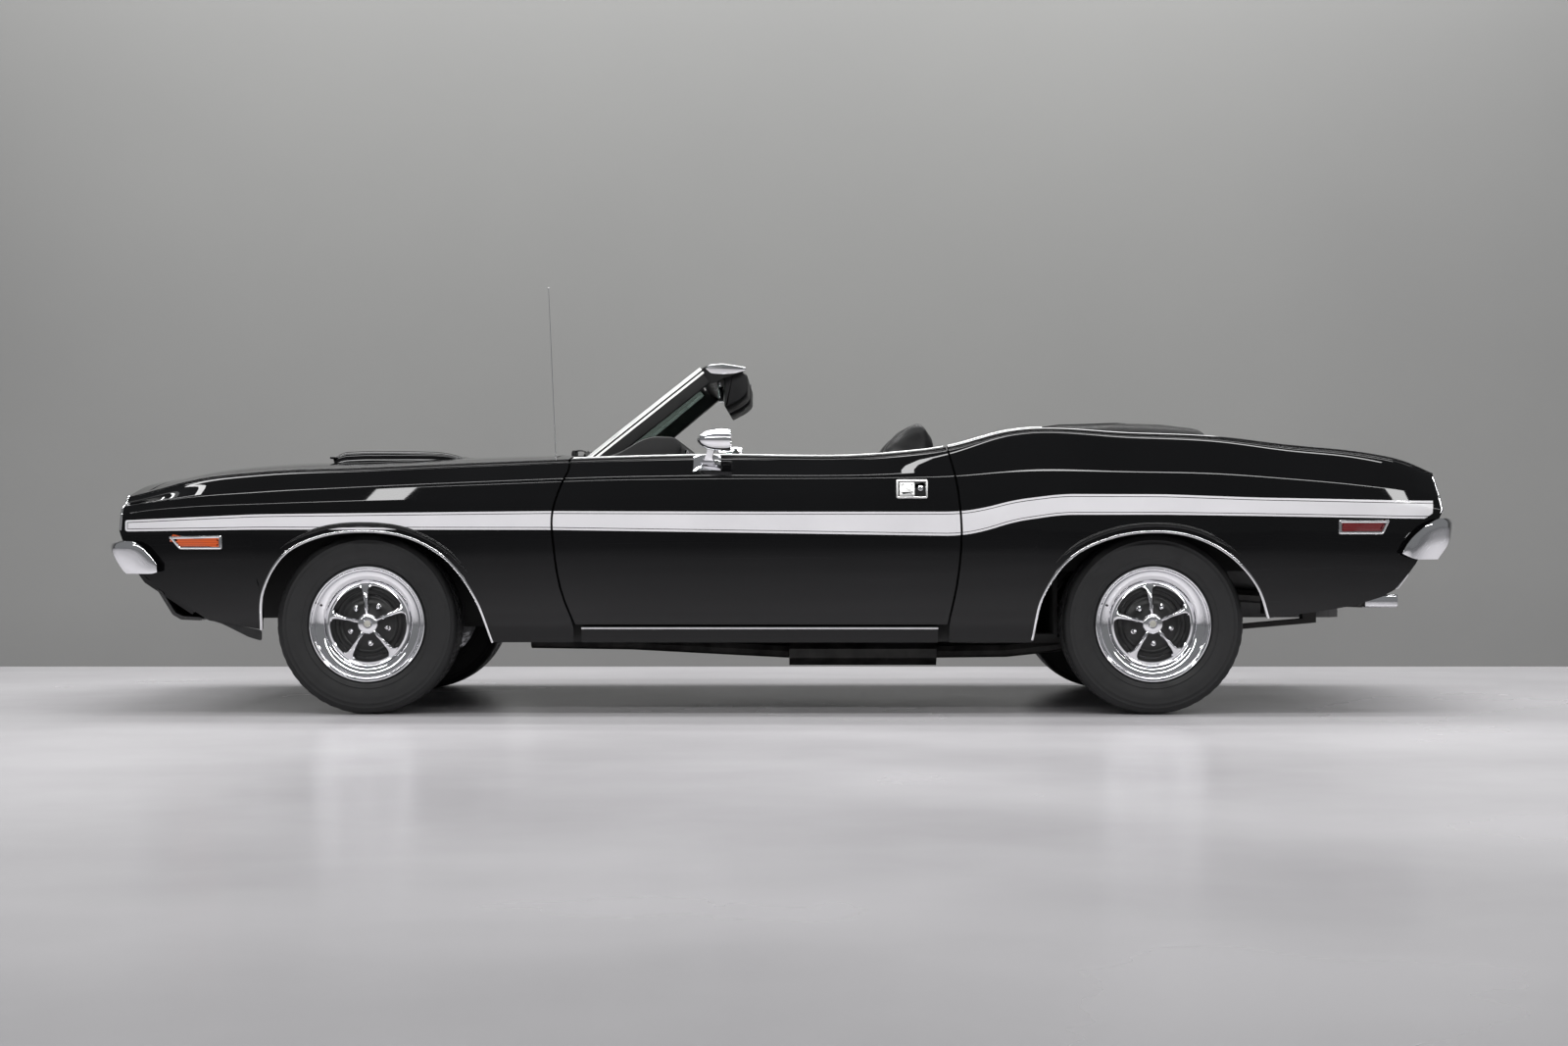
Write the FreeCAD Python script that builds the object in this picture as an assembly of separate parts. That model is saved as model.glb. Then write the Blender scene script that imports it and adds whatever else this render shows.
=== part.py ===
import FreeCAD
import Part
import math
import os

# Two-door muscle car convertible with its top folded away, built as separate panels and fittings.
# Frame: +X to the rear, +Y to the car's right, +Z up, origin on the ground under its middle, in mm.

V = FreeCAD.Vector
CENTRE = V(0, 0, 0)
ALONG = V(1, 0, 0)
ACROSS = V(0, 1, 0)
UP = V(0, 0, 1)

os.makedirs("parts", exist_ok=True)

round_sides = 12
pipe_sides = 8

# Driving dimensions of the whole car
wheelbase = 2794.0
front_overhang = 965.0
rear_overhang = 1100.0
body_width = 1933.0
deck_height = 1010.0
sill_height = 258.0
front_track = 1516.0
rear_track = 1542.0
tyre_radius = 322.0
tyre_width = 232.0
rim_radius = 208.0
door_depth = 131.5
panel_thickness = 14.0
panel_gap = 6.5
door_gap = 8.0
seat_gap = 0.3
overrun = 60.0
room_above_deck = 90.0

overall_length = front_overhang + wheelbase + rear_overhang
front_x = -overall_length / 2
rear_x = overall_length / 2
front_axle_x = front_x + front_overhang
rear_axle_x = front_axle_x + wheelbase
half_width = body_width / 2
axle_height = tyre_radius
front_wheel_y = front_track / 2
rear_wheel_y = rear_track / 2
door_inner_y = half_width - door_depth
zone_top = deck_height + room_above_deck
body_half_span = half_width + overrun


# Placing and joining


def from_front(span):
    """Distances behind the front axle as places along the car."""
    return [front_axle_x + distance for distance in span]


def from_rear(span):
    """Distances behind the rear axle as places along the car."""
    return [rear_axle_x + distance for distance in span]


def block(x_span, y_span, z_span):
    corner = V(x_span[0], y_span[0], z_span[0])
    return Part.makeBox(x_span[1] - x_span[0], y_span[1] - y_span[0], z_span[1] - z_span[0], corner)


def front_block(x_span, y_span, z_span):
    return block(from_front(x_span), y_span, z_span)


def rear_block(x_span, y_span, z_span):
    return block(from_rear(x_span), y_span, z_span)


def middle(half):
    return (-half, half)


def mirrored(shape):
    return shape.mirror(CENTRE, ACROSS)


def paired(shape):
    return [shape, mirrored(shape)]


def fuse(shapes):
    return shapes[0].fuse(shapes[1:]).removeSplitter()


def side_prism(points, y_span):
    """A side-view outline of (x, z) corners, drawn out across the car."""
    corners = [V(x, y_span[0], z) for x, z in points]
    face = Part.Face(Part.makePolygon(corners + corners[:1]))
    return face.extrude(V(0, y_span[1] - y_span[0], 0))


def plan_prism(points, z_span):
    """A plan-view outline of (x, y) corners, drawn out in height."""
    corners = [V(x, y, z_span[0]) for x, y in points]
    face = Part.Face(Part.makePolygon(corners + corners[:1]))
    return face.extrude(V(0, 0, z_span[1] - z_span[0]))


def smooth_line(points, flats):
    """A smooth line through the points, given as even short flats."""
    spline = Part.BSplineCurve()
    spline.interpolate(points)
    return spline.toShape().discretize(Number=flats + 1)


def polygon_ring(radius, centre, way, sides):
    """A regular outline about a way, one corner of it straight up or to the front."""
    across_way = way.cross(UP) if way.cross(UP).Length > seat_gap else V(ACROSS)
    side = V(across_way).normalize()
    up = side.cross(way).normalize()
    corners = []
    for i in range(sides + 1):
        turn = 2 * math.pi * i / sides
        corners.append(centre + up * (radius * math.cos(turn)) + side * (radius * math.sin(turn)))
    return Part.makePolygon(corners)


def bar(radius, start, end, sides=round_sides):
    """A straight many-sided bar."""
    return Part.Face(polygon_ring(radius, start, end - start, sides)).extrude(end - start)


def socket(radius, start, end):
    """The hole that a bar turns in, its flats against the corners of the bar."""
    half_side = math.pi / round_sides
    hole = bar((radius + seat_gap) / math.cos(half_side), start, end)
    return hole.rotate(start, end - start, math.degrees(half_side))


def flat_sided(sections, split_sides):
    """A closed solid of flats between sections, its four-cornered sides split in two on request."""
    faces = [Part.Face(Part.makePolygon(ends + ends[:1])) for ends in (sections[0], sections[-1])]
    for near, far in zip(sections[:-1], sections[1:]):
        for i in range(len(near)):
            k = (i + 1) % len(near)
            if split_sides and i < len(near) // 2:
                outlines = [(near[i], near[k], far[k]), (near[i], far[k], far[i])]
            elif split_sides:
                outlines = [(near[i], near[k], far[i]), (near[k], far[k], far[i])]
            else:
                outlines = [(near[i], near[k], far[k], far[i])]
            for outline in outlines:
                faces.append(Part.Face(Part.makePolygon(outline + outline[:1])))
    sides = Part.makeShell(faces)
    sides.sewShape()
    solid = Part.makeSolid(sides)
    return solid if solid.Volume > 0 else solid.reversed()


def turned(rings, sides):
    """A many-sided solid about the Y axis from (radius, y) rings."""
    sections = []
    for radius, y in rings:
        ring = polygon_ring(radius, V(0, y, 0), ACROSS, sides)
        sections.append([vertex.Point for vertex in ring.OrderedVertexes[:sides]])
    return flat_sided(sections, False)


def pipe(radius, points):
    """A many-sided pipe along straight runs with mitred bends."""
    path = Part.makePolygon(points)
    ring = polygon_ring(radius, points[0], points[1] - points[0], pipe_sides)
    return path.makePipeShell([ring], True, False, 1)


def save(name, shape):
    shape.exportStep("parts/" + name + ".step")


# Body envelope: cross-sections along the car, from the nose to the tail

station_shares = (0.006, 0.035, 0.07, 0.12, 0.20, 0.30, 0.375, 0.44, 0.58,
                  0.625, 0.665, 0.76, 0.82, 0.87, 0.93, 0.957, 0.985)
top_shares = (0.757, 0.785, 0.829, 0.856, 0.871, 0.891, 0.904, 0.912, 0.918,
              0.944, 0.996, 0.991, 0.979, 0.951, 0.922, 0.897, 0.838)
upper_crease_shares = (0.718, 0.743, 0.764, 0.776, 0.797, 0.817, 0.830, 0.834, 0.838,
                       0.842, 0.853, 0.853, 0.847, 0.832, 0.807, 0.792, 0.757)
lower_crease_shares = (0.693, 0.715, 0.728, 0.737, 0.745, 0.750, 0.760, 0.767, 0.772,
                       0.772, 0.772, 0.770, 0.764, 0.757, 0.743, 0.735, 0.713)
width_shares = (0.880, 0.911, 0.934, 0.957, 0.973, 0.980, 0.983, 0.985, 0.991,
                0.994, 0.997, 1.000, 0.997, 0.988, 0.971, 0.954, 0.931)
crown_shares = (0.074, 0.064, 0.050, 0.045, 0.042, 0.038, 0.033, 0.030, 0.030,
                0.030, 0.028, 0.026, 0.026, 0.025, 0.024, 0.022, 0.020)
low_side_shares = (0.000, 0.255, 0.585)
low_tuck_shares = (1.000, 0.370, 0.080)
shoulder_in_shares = (0.51, 0.69, 1.00)
shoulder_down_shares = (1.00, 0.32, 0.00)
crown_y_shares = (0.60, 0.00)
crown_z_shares = (0.64, 1.00)
sill_tuck = 60.0
crease_set_in = 13.0
shoulder_width = 98.0
shoulder_drop = 28.0


def body_section(i, inset, end_shift, drop):
    """One closed cross-section, its skin moved in by inset and its foot down by drop."""
    x = front_x + station_shares[i] * overall_length + end_shift
    half = width_shares[i] * half_width - inset
    top = top_shares[i] * deck_height - inset
    lower = lower_crease_shares[i] * deck_height
    upper = upper_crease_shares[i] * deck_height
    foot = sill_height - drop
    points = [(half - sill_tuck, foot)] if drop else []
    for rise, tuck in zip(low_side_shares, low_tuck_shares):
        points.append((half - tuck * sill_tuck, sill_height + rise * (lower - sill_height)))
    points.append((half, lower))
    points.append((half - crease_set_in, upper - inset / 2))
    for run, down in zip(shoulder_in_shares, shoulder_down_shares):
        points.append((half - run * shoulder_width, top - down * shoulder_drop))
    edge = half - shoulder_width
    crown = crown_shares[i] * deck_height
    for run, lift in zip(crown_y_shares, crown_z_shares):
        points.append((run * edge, top + lift * crown))
    mirror_points = [(-y, z) for y, z in reversed(points[:-1])]
    corners = [V(x, y, z) for y, z in points + mirror_points]
    return corners


def body_solid(inset):
    """The full-width body, closed, with its skin moved in by inset."""
    last = len(station_shares) - 1
    reach = overrun if inset else 0
    sections = []
    for i in range(last + 1):
        shift = -reach if i == 0 else reach if i == last else 0
        sections.append(body_section(i, inset, shift, reach))
    return flat_sided(sections, True)


under_lid_clearance = 8.0
outer = body_solid(0)
inner = body_solid(panel_thickness)
seat = body_solid(panel_thickness + seat_gap)
below_lids = body_solid(panel_thickness + under_lid_clearance)
shell = outer.cut(inner)

# Panel lines in the side view, as distances behind the front axle and heights

door_front_line = ((735.0, zone_top), (727.0, 870.0), (692.0, 790.0), (671.0, 715.0),
                   (676.0, 590.0), (704.0, 430.0), (746.0, 322.0))
door_rear_line = ((2059.0, 322.0), (2091.0, 480.0), (2104.0, 655.0), (2087.0, 820.0),
                  (2054.0, 963.0), (2040.0, zone_top))
fender_foot_line = ((-858.0, zone_top), (-858.0, 769.0), (-875.0, 640.0), (-782.0, 487.0),
                    (-714.0, 438.0), (-558.0, 335.0), (-362.0, 303.0))
quarter_foot_line = ((398.0, 345.0), (563.0, 366.0), (701.0, 389.0), (799.0, 419.0),
                     (847.0, 445.0), (916.0, 525.0), (1021.0, 724.0), (1000.0, 846.0),
                     (990.0, zone_top))
front_arch_line = ((-362.0, 303.0), (-350.0, 440.0), (-272.0, 580.0), (-150.0, 648.0),
                   (0.0, 667.0), (150.0, 645.0), (290.0, 560.0), (388.0, 425.0), (449.0, 258.0))
rear_arch_line = ((-433.0, 267.0), (-400.0, 420.0), (-305.0, 555.0), (-155.0, 630.0),
                  (-18.0, 650.0), (130.0, 632.0), (272.0, 555.0), (360.0, 450.0), (398.0, 345.0))
arch_flats = 18


def arch_cutter(axle_x, line, half_span):
    """The wheel opening, smooth along its lip and open to the ground."""
    lip = smooth_line([V(axle_x + x, 0, z) for x, z in line], arch_flats)
    corners = [(p.x, p.z) for p in lip] + [(lip[-1].x, 0), (lip[0].x, 0)]
    return side_prism(corners, middle(half_span))


def door_prism(grow, y_span):
    """The door's side outline, grown by a gap, drawn out across."""
    line = [(front_axle_x + x, z) for x, z in door_front_line + door_rear_line]
    corners = [V(x, y_span[0], z) for x, z in line]
    face = Part.Face(Part.makePolygon(corners + corners[:1]))
    if grow:
        face = face.makeOffset2D(grow, 2, False, False, False)
    return face.extrude(V(0, y_span[1] - y_span[0], 0))


front_arch = arch_cutter(front_axle_x, front_arch_line, body_half_span)
rear_arch = arch_cutter(rear_axle_x, rear_arch_line, body_half_span)
left_span = (-body_half_span, 0)

# Hood, with its two raised scoops, and the nose panel in front of it

hood_span_x = (-796.0, 655.0)
hood_set_in = 276.5
hood_half = half_width - hood_set_in
hood_rear_gap = 9.0
hood_zone_share = 0.62
hood_zone_z = (hood_zone_share * deck_height, zone_top)
scoop_line = ((-202.0, 880.0), (-202.0, 928.0), (-172.0, 950.0), (200.0, 952.0),
              (308.0, 922.0), (308.0, 880.0))
scoop_y = (-392.0, -205.0)
nose_span_x = (-868.0, -802.5)
nose_set_in = 186.5
nose_half = half_width - nose_set_in
nose_zone_share = 0.7
nose_zone_z = (nose_zone_share * deck_height, zone_top)

scoop = side_prism([(front_axle_x + x, z) for x, z in scoop_line], scoop_y).cut(inner)
hood_plate = shell.common(front_block(hood_span_x, middle(hood_half), hood_zone_z))
hood = fuse([hood_plate] + paired(scoop))
nose_panel = shell.common(front_block(nose_span_x, middle(nose_half), nose_zone_z))
save("hood", hood)
save("nose_panel", nose_panel)

# Front fenders, from the nose back to the doors

fender_top_inner = hood_half + panel_gap
fender_nose_inner = nose_half + panel_gap
fender_back = 760.0
fender_zone_z = (sill_height, zone_top)

fender_line = fender_foot_line + ((front_arch_line[-1]), (fender_back, sill_height),
                                  (fender_back, fender_zone_z[1]))
fender_outline = [(front_axle_x + x, z) for x, z in fender_line]
fender_region = side_prism(fender_outline, left_span)
nose_zone_x = (-overall_length, nose_span_x[1] + panel_gap)
centre_zone = front_block(nose_zone_x, middle(fender_nose_inner), fender_zone_z)
hood_zone = front_block((-overall_length, overall_length), middle(fender_top_inner), fender_zone_z)
door_opening = door_prism(door_gap, left_span)
left_fender = shell.common(fender_region).cut([centre_zone, hood_zone, front_arch, door_opening])
save("front_fender_left", left_fender)
save("front_fender_right", mirrored(left_fender))

# Cowl panel between hood and windshield

cowl_span_x = (hood_span_x[1] + hood_rear_gap, 740.0)
shoulder_span_x = (733.5, 800.0)
shoulder_gap = 7.0
shoulder_half = door_inner_y - shoulder_gap

cowl_middle = shell.common(front_block(cowl_span_x, middle(hood_half), hood_zone_z))
cowl_shoulders = shell.common(front_block(shoulder_span_x, middle(shoulder_half), hood_zone_z))
cowl = fuse([cowl_middle, cowl_shoulders])
save("cowl_panel", cowl)

# Doors: one thick piece each, inside trim and all, that shuts on the flange of the body tub

left_door = outer.common(door_prism(0, (-body_half_span, -door_inner_y)))
save("door_left", left_door)
save("door_right", mirrored(left_door))

# Quarter panels, from the doors to the tail

quarter_front = -760.0
cabin_set_in = 166.5
deck_side_set_in = 191.5
lid_side_set_in = 311.5
lid_front = 262.0
cabin_half = half_width - cabin_set_in
deck_side_y = half_width - deck_side_set_in
lid_side_y = half_width - lid_side_set_in
quarter_plan = ((quarter_front - overrun, -cabin_half), (lid_front, -deck_side_y), (lid_front, -lid_side_y),
                (rear_overhang, -lid_side_y), (rear_overhang, 0), (quarter_front - overrun, 0))

quarter_line = ((quarter_front, fender_zone_z[1]), (quarter_front, sill_height),
                (rear_arch_line[0][0], sill_height)) + quarter_foot_line
quarter_region = side_prism([(rear_axle_x + x, z) for x, z in quarter_line], left_span)
quarter_hollow = plan_prism([(rear_axle_x + x, y) for x, y in quarter_plan], fender_zone_z)
left_quarter = shell.common(quarter_region).cut([quarter_hollow, rear_arch, door_opening])
save("quarter_panel_left", left_quarter)
save("quarter_panel_right", mirrored(left_quarter))

# Trunk lid and the tail panel that closes the car below it

lid_gap = 8.0
lid_span_x = (lid_front + lid_gap, 978.0)
lid_zone_share = 0.76
lid_zone_z = (lid_zone_share * deck_height, zone_top)
tail_line = ((998.5, 838.0), (1013.0, 724.0), (916.0, 540.0), (842.0, 440.0),
             (829.0, 446.0), (903.0, 548.0), (998.0, 726.0), (984.5, 836.0))

trunk_lid = shell.common(rear_block(lid_span_x, middle(lid_side_y - panel_gap), lid_zone_z))
tail_prism = side_prism([(rear_axle_x + x, z) for x, z in tail_line], middle(half_width))
tail_panel = tail_prism.common(seat)
save("trunk_lid", trunk_lid)
save("tail_panel", tail_panel)

# Body tub: floor, sills, pillars, bulkheads and wheel wells, trimmed to seat under the panels

sheet = 14.0
floor_z = (262.0, 276.0)
cabin_floor_x = (560.0, 2314.0)
rear_foot_floor_x = (2300.0, 2478.0)
well_room = 155.0
well_inner_y = rear_wheel_y - well_room
rear_foot_half = well_inner_y
cowl_drop = 146.0
ledge_drop = 71.0
cowl_top = deck_height - cowl_drop
ledge_top = deck_height - ledge_drop
flange_width = 45.0
flange_inner_y = door_inner_y - flange_width
firewall_x = (560.0, 574.0)
firewall_z = (262.0, cowl_top)
cowl_shelf_x = (560.0, 800.0)
cowl_shelf_z = (cowl_top - sheet, cowl_top)
cowl_room = 95.0
cowl_half = door_inner_y - cowl_room
cowl_beam_x = (716.0, 800.0)
cowl_beam_z = (cowl_top - sheet, zone_top)
flange_y = (-door_inner_y + seat_gap, -flange_inner_y)
sill_x = (462.0, 2330.0)
sill_z = (sill_height, 362.0)
rocker_x = (766.5, 2027.5)
rocker_z = (sill_height, 314.0)
rocker_y = (-body_half_span, -flange_inner_y)
hinge_pillar_x = (574.0, 762.0)
hinge_pillar_y = (-door_inner_y + seat_gap, -cowl_half)
pillar_z = (sill_height, zone_top)
hinge_post_x = (562.0, 612.0)
post_y = (-body_half_span, -flange_inner_y)
lock_pillar_x = (2118.0, 2180.0)
lock_flange_x = (2034.0, 2180.0)
side_trim_x = (-614.0, -96.0)
side_trim_y = (-cabin_half, -cabin_half + sheet)
side_trim_z = (floor_z[1], ledge_top)
tunnel_x = (560.0, 2478.0)
tunnel_half = 150.0
tunnel_z = (262.0, 430.0)
riser_x = (-330.0, -316.0)
trunk_floor_x = (-330.0, 960.0)
trunk_floor_z = (520.0, 534.0)
trunk_floor_y = middle(body_half_span)
well_x = (-452.0, 440.0)
well_y = (-body_half_span, -well_inner_y)
well_z = (506.0, 714.0)
well_hollow_x = (-438.0, 426.0)
well_hollow_y = (-body_half_span, -well_inner_y - sheet)
well_hollow_z = (0.0, 700.0)
well_wall_y = (-body_half_span, -well_inner_y)
well_front_x = (-480.0, -438.0)
well_front_z = (262.0, 520.0)
well_back_x = (426.0, 440.0)
well_back_z = (352.0, 520.0)
bulkhead_x = (-110.0, -96.0)
bulkhead_z = (534.0, ledge_top)
bulkhead_half = cabin_half - sheet
ledge_z = (ledge_top - sheet, ledge_top)
ledge_x = (-600.0, -96.0)
ledge_y = (-bulkhead_half, -well_inner_y)
shelf_x = (-110.0, 256.0)
deck_bar_x = (228.0, 256.0)
deck_bar_z = (ledge_top - sheet, zone_top)
trunk_wall_x = (228.0, 960.0)
trunk_wall_set_out = 45.0
trunk_wall_y = (-lid_side_y - trunk_wall_set_out, -lid_side_y - trunk_wall_set_out + sheet)
trunk_wall_z = (534.0, zone_top)
radiator_support_x = (-600.0, -586.0)
radiator_support_z = (370.0, zone_top)
radiator_window_half = 300.0
radiator_window_z = (430.0, 730.0)
apron_set_out = 55.0
front_half = hood_half + apron_set_out
engine_wall_x = (-700.0, 574.0)
engine_wall_y = (-470.0, -455.0)
engine_wall_z = (330.0, 744.0)
apron_y = (-front_half, engine_wall_y[1])
apron_z = (730.0, 744.0)
apron_rail_y = (-front_half, -front_half + sheet)
apron_rail_z = (apron_z[1], zone_top)
rail_y = (-455.0, -385.0)
rail_z = (330.0, 410.0)
nose_foot_line = ((-1000.0, 0.0), (-1000.0, 640.0), (-875.0, 640.0), (-782.0, 501.0),
                  (-714.0, 452.0), (-558.0, 349.0), (-480.0, 330.0), (-480.0, 0.0))
tail_space_line = ((828.7, 0.0), (828.7, 446.0), (902.7, 548.0), (997.7, 726.0), (984.2, 836.0),
                   (984.2, zone_top), (1200.0, zone_top), (1200.0, 0.0))
nose_rail_x = (-860.0, -690.0)
nose_rail_width = 42.0
nose_rail_y = (-front_half, -front_half + nose_rail_width)
nose_rail_z = (735.0, zone_top)
nose_bar_x = (-835.0, -808.0)
lid_stop_size = 24.0
hood_stops = ((-640.0, 640.0), (560.0, 640.0))
trunk_stops = ((310.0, 600.0), (900.0, 600.0))
stop_top = zone_top


left_pieces = [
    front_block(sill_x, flange_y, sill_z),
    front_block(hinge_pillar_x, hinge_pillar_y, pillar_z),
    front_block(hinge_post_x, post_y, pillar_z),
    front_block(nose_rail_x, nose_rail_y, nose_rail_z),
    front_block(lock_flange_x, flange_y, pillar_z),
    front_block(lock_pillar_x, post_y, pillar_z),
    rear_block(side_trim_x, side_trim_y, side_trim_z),
    rear_block(ledge_x, ledge_y, ledge_z),
    rear_block(trunk_wall_x, trunk_wall_y, trunk_wall_z),
    rear_block(well_x, well_y, well_z),
    rear_block(well_front_x, well_wall_y, well_front_z),
    rear_block(well_back_x, well_wall_y, well_back_z),
]
middle_pieces = [
    front_block(cabin_floor_x, middle(cabin_half), floor_z),
    front_block(cowl_beam_x, middle(cowl_half), cowl_beam_z),
    front_block(nose_bar_x, middle(front_half), nose_rail_z),
    front_block(rear_foot_floor_x, middle(rear_foot_half), floor_z),
    rear_block(riser_x, middle(rear_foot_half), (floor_z[0], trunk_floor_z[1])),
    rear_block(trunk_floor_x, trunk_floor_y, trunk_floor_z),
    rear_block(bulkhead_x, middle(bulkhead_half), bulkhead_z),
    rear_block(shelf_x, middle(bulkhead_half), ledge_z),
]
low_left_pieces = [
    front_block(engine_wall_x, engine_wall_y, engine_wall_z),
    front_block(engine_wall_x, apron_y, apron_z),
    front_block(engine_wall_x, rail_y, rail_z),
]
low_middle_pieces = [
    front_block(firewall_x, middle(cabin_half), firewall_z),
    front_block(cowl_shelf_x, middle(cowl_half), cowl_shelf_z),
]
radiator_window = front_block(radiator_support_x, middle(radiator_window_half), radiator_window_z)
radiator_support = front_block(radiator_support_x, middle(front_half), radiator_support_z)
low_middle_pieces.append(radiator_support.cut(radiator_window).common(below_lids))
apron_rail = front_block(engine_wall_x, apron_rail_y, apron_rail_z)
rocker = outer.common(front_block(rocker_x, rocker_y, rocker_z))
deck_bar = outer.common(rear_block(deck_bar_x, middle(deck_side_y - panel_gap), deck_bar_z))

tub_frame = fuse([s for piece in left_pieces + [apron_rail] for s in paired(piece)] + middle_pieces)
wells = paired(rear_block(well_hollow_x, well_hollow_y, well_hollow_z))
tub_frame = tub_frame.common(seat)
tub_rest = [s for piece in low_left_pieces + [rocker] for s in paired(piece)] + low_middle_pieces
body_tub = fuse([tub_frame] + tub_rest + [deck_bar])
tunnel_outside = front_block(tunnel_x, middle(tunnel_half), tunnel_z)
tunnel_inside_z = (tunnel_z[0] - sheet, tunnel_z[1] - sheet)
tunnel_inside = front_block(tunnel_x, middle(tunnel_half - sheet), tunnel_inside_z)

def lid_stop(place, lid, foot):
    """A rubber-topped stop post that ends just under a shut lid."""
    x, y = place
    reach = lid_stop_size / 2
    post = block((x - reach, x + reach), (y - reach, y + reach), (foot, stop_top))
    bands = [lid.translated(V(0, 0, -seat_gap)), lid]
    return min(post.cut(bands).Solids, key=lambda solid: solid.CenterOfMass.z)


stops = []
for stop_x, stop_y in hood_stops:
    stops += paired(lid_stop((front_axle_x + stop_x, stop_y), hood, apron_z[1]))
for stop_x, stop_y in trunk_stops:
    stops += paired(lid_stop((rear_axle_x + stop_x, stop_y), trunk_lid, trunk_floor_z[1]))
nose_space = side_prism([(front_axle_x + x, z) for x, z in nose_foot_line], middle(half_width))
tail_space = side_prism([(rear_axle_x + x, z) for x, z in tail_space_line], middle(half_width))
body_tub = body_tub.fuse([tunnel_outside] + stops)
body_tub = body_tub.cut(wells + [tunnel_inside, nose_space, tail_space])
body_ends = (-overall_length, front_axle_x + firewall_x[1], rear_axle_x + riser_x[0], overall_length)
body_names = ("front_structure", "body_tub", "rear_structure")
for name, x_span in zip(body_names, zip(body_ends[:-1], body_ends[1:])):
    save(name, body_tub.common(block(x_span, middle(body_half_span), (0, stop_top))))

# Windshield: a curved glass in a raked frame, with a broad header that carries the sun visors

screen_foot_drop = 136.0
screen_top_rise = 270.0
screen_foot = (648.0, deck_height - screen_foot_drop)
screen_top = (1168.0, deck_height + screen_top_rise)
screen_side_gap = 5.0
screen_taper = 120.0
screen_half_foot = cowl_half - screen_side_gap
screen_half_top = screen_half_foot - screen_taper
screen_bow = 45.0
screen_flats = 10
post_width = 34.0
frame_depth = 66.0
header_width = 62.0
foot_rail = 96.0
glass_thickness = 6.0
glass_set_in = 12.0
header_line = ((1146.0, -42.0), (1158.0, -14.0), (1190.0, 2.0), (1235.0, 6.0), (1285.0, -1.0),
               (1322.0, -8.0), (1318.0, -22.0), (1240.0, -46.0), (1200.0, -68.0))
header_half = 600.0
header_flats = 6
visor_line = ((1258.0, -34.0), (1310.0, -34.0), (1348.0, -54.0), (1348.0, -124.0), (1322.0, -148.0),
              (1268.0, -176.0), (1262.0, -168.0), (1262.0, -120.0))
visor_y = (-560.0, -80.0)
cabin_mirror_x = (1226.0, 1246.0)
cabin_mirror_half = 115.0
cabin_mirror_z = (-130.0, -74.0)
mirror_stalk_x = (1216.0, 1240.0)
mirror_stalk_half = 10.0
mirror_stalk_z = (-90.0, -40.0)

screen_run = V(screen_top[0] - screen_foot[0], 0, screen_top[1] - screen_foot[1])
screen_slope = V(screen_run).normalize()
screen_outward = V(-screen_slope.z, 0, screen_slope.x)


def screen_bend(y):
    """How far the bowed screen falls back at a distance from its middle."""
    return screen_outward * (-screen_bow * (y / screen_half_foot) ** 2)


def screen_ring(share, side_in, end_in, depth):
    """One bowed line across the raked screen, a share of the way up it."""
    base = V(front_axle_x + screen_foot[0], 0, screen_foot[1]) + screen_run * share
    base = base + screen_slope * end_in - screen_outward * depth
    half = screen_half_foot + (screen_half_top - screen_half_foot) * share - side_in
    bow = screen_bend(half)
    ends = [base + bow + V(0, -half, 0), base + bow + V(0, half, 0)]
    return Part.Arc(ends[0], base, ends[1]).toShape().discretize(Number=screen_flats + 1)


def screen_slab(side_in, foot_in, top_in, depth, thickness):
    """A bowed slab in the screen's plane between two depths behind its face."""
    rings = []
    for share, end_in in ((0, foot_in), (1, -top_in)):
        near = screen_ring(share, side_in, end_in, depth)
        far = screen_ring(share, side_in, end_in, depth + thickness)
        rings.append(near + far[::-1])
    return flat_sided(rings, True)


screen_block = screen_slab(0, 0, 0, 0, frame_depth)
window_cut = screen_slab(post_width, foot_rail, header_width, -frame_depth, 3 * frame_depth)
screen_frame = screen_block.cut([window_cut, outer.translated(V(0, 0, seat_gap))])


def under_header(line):
    """Places behind the front axle and heights from the screen's top, as places in the car."""
    return [(front_axle_x + x, screen_top[1] + z) for x, z in line]


header_sections = []
for i in range(header_flats + 1):
    y = -header_half + 2 * header_half * i / header_flats
    header_sections.append([V(x, y, z) + screen_bend(y) for x, z in under_header(header_line)])
header = flat_sided(header_sections, True)
visors = paired(side_prism(under_header(visor_line), visor_y))
mirror_z = [screen_top[1] + z for z in cabin_mirror_z]
stalk_z = [screen_top[1] + z for z in mirror_stalk_z]
cabin_mirror = front_block(cabin_mirror_x, middle(cabin_mirror_half), mirror_z)
mirror_stalk = front_block(mirror_stalk_x, middle(mirror_stalk_half), stalk_z)
screen_frame = fuse([screen_frame, header] + visors + [cabin_mirror, mirror_stalk])
glass_edge = seat_gap
glass = screen_slab(post_width + glass_edge, foot_rail + glass_edge, header_width + glass_edge,
                    glass_set_in, glass_thickness).cut(outer.translated(V(0, 0, seat_gap)))
save("windshield_frame", screen_frame)
save("windshield_glass", glass)

# Bumpers: bowed, dished chrome blades that wrap round the corners and run out to a point

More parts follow.
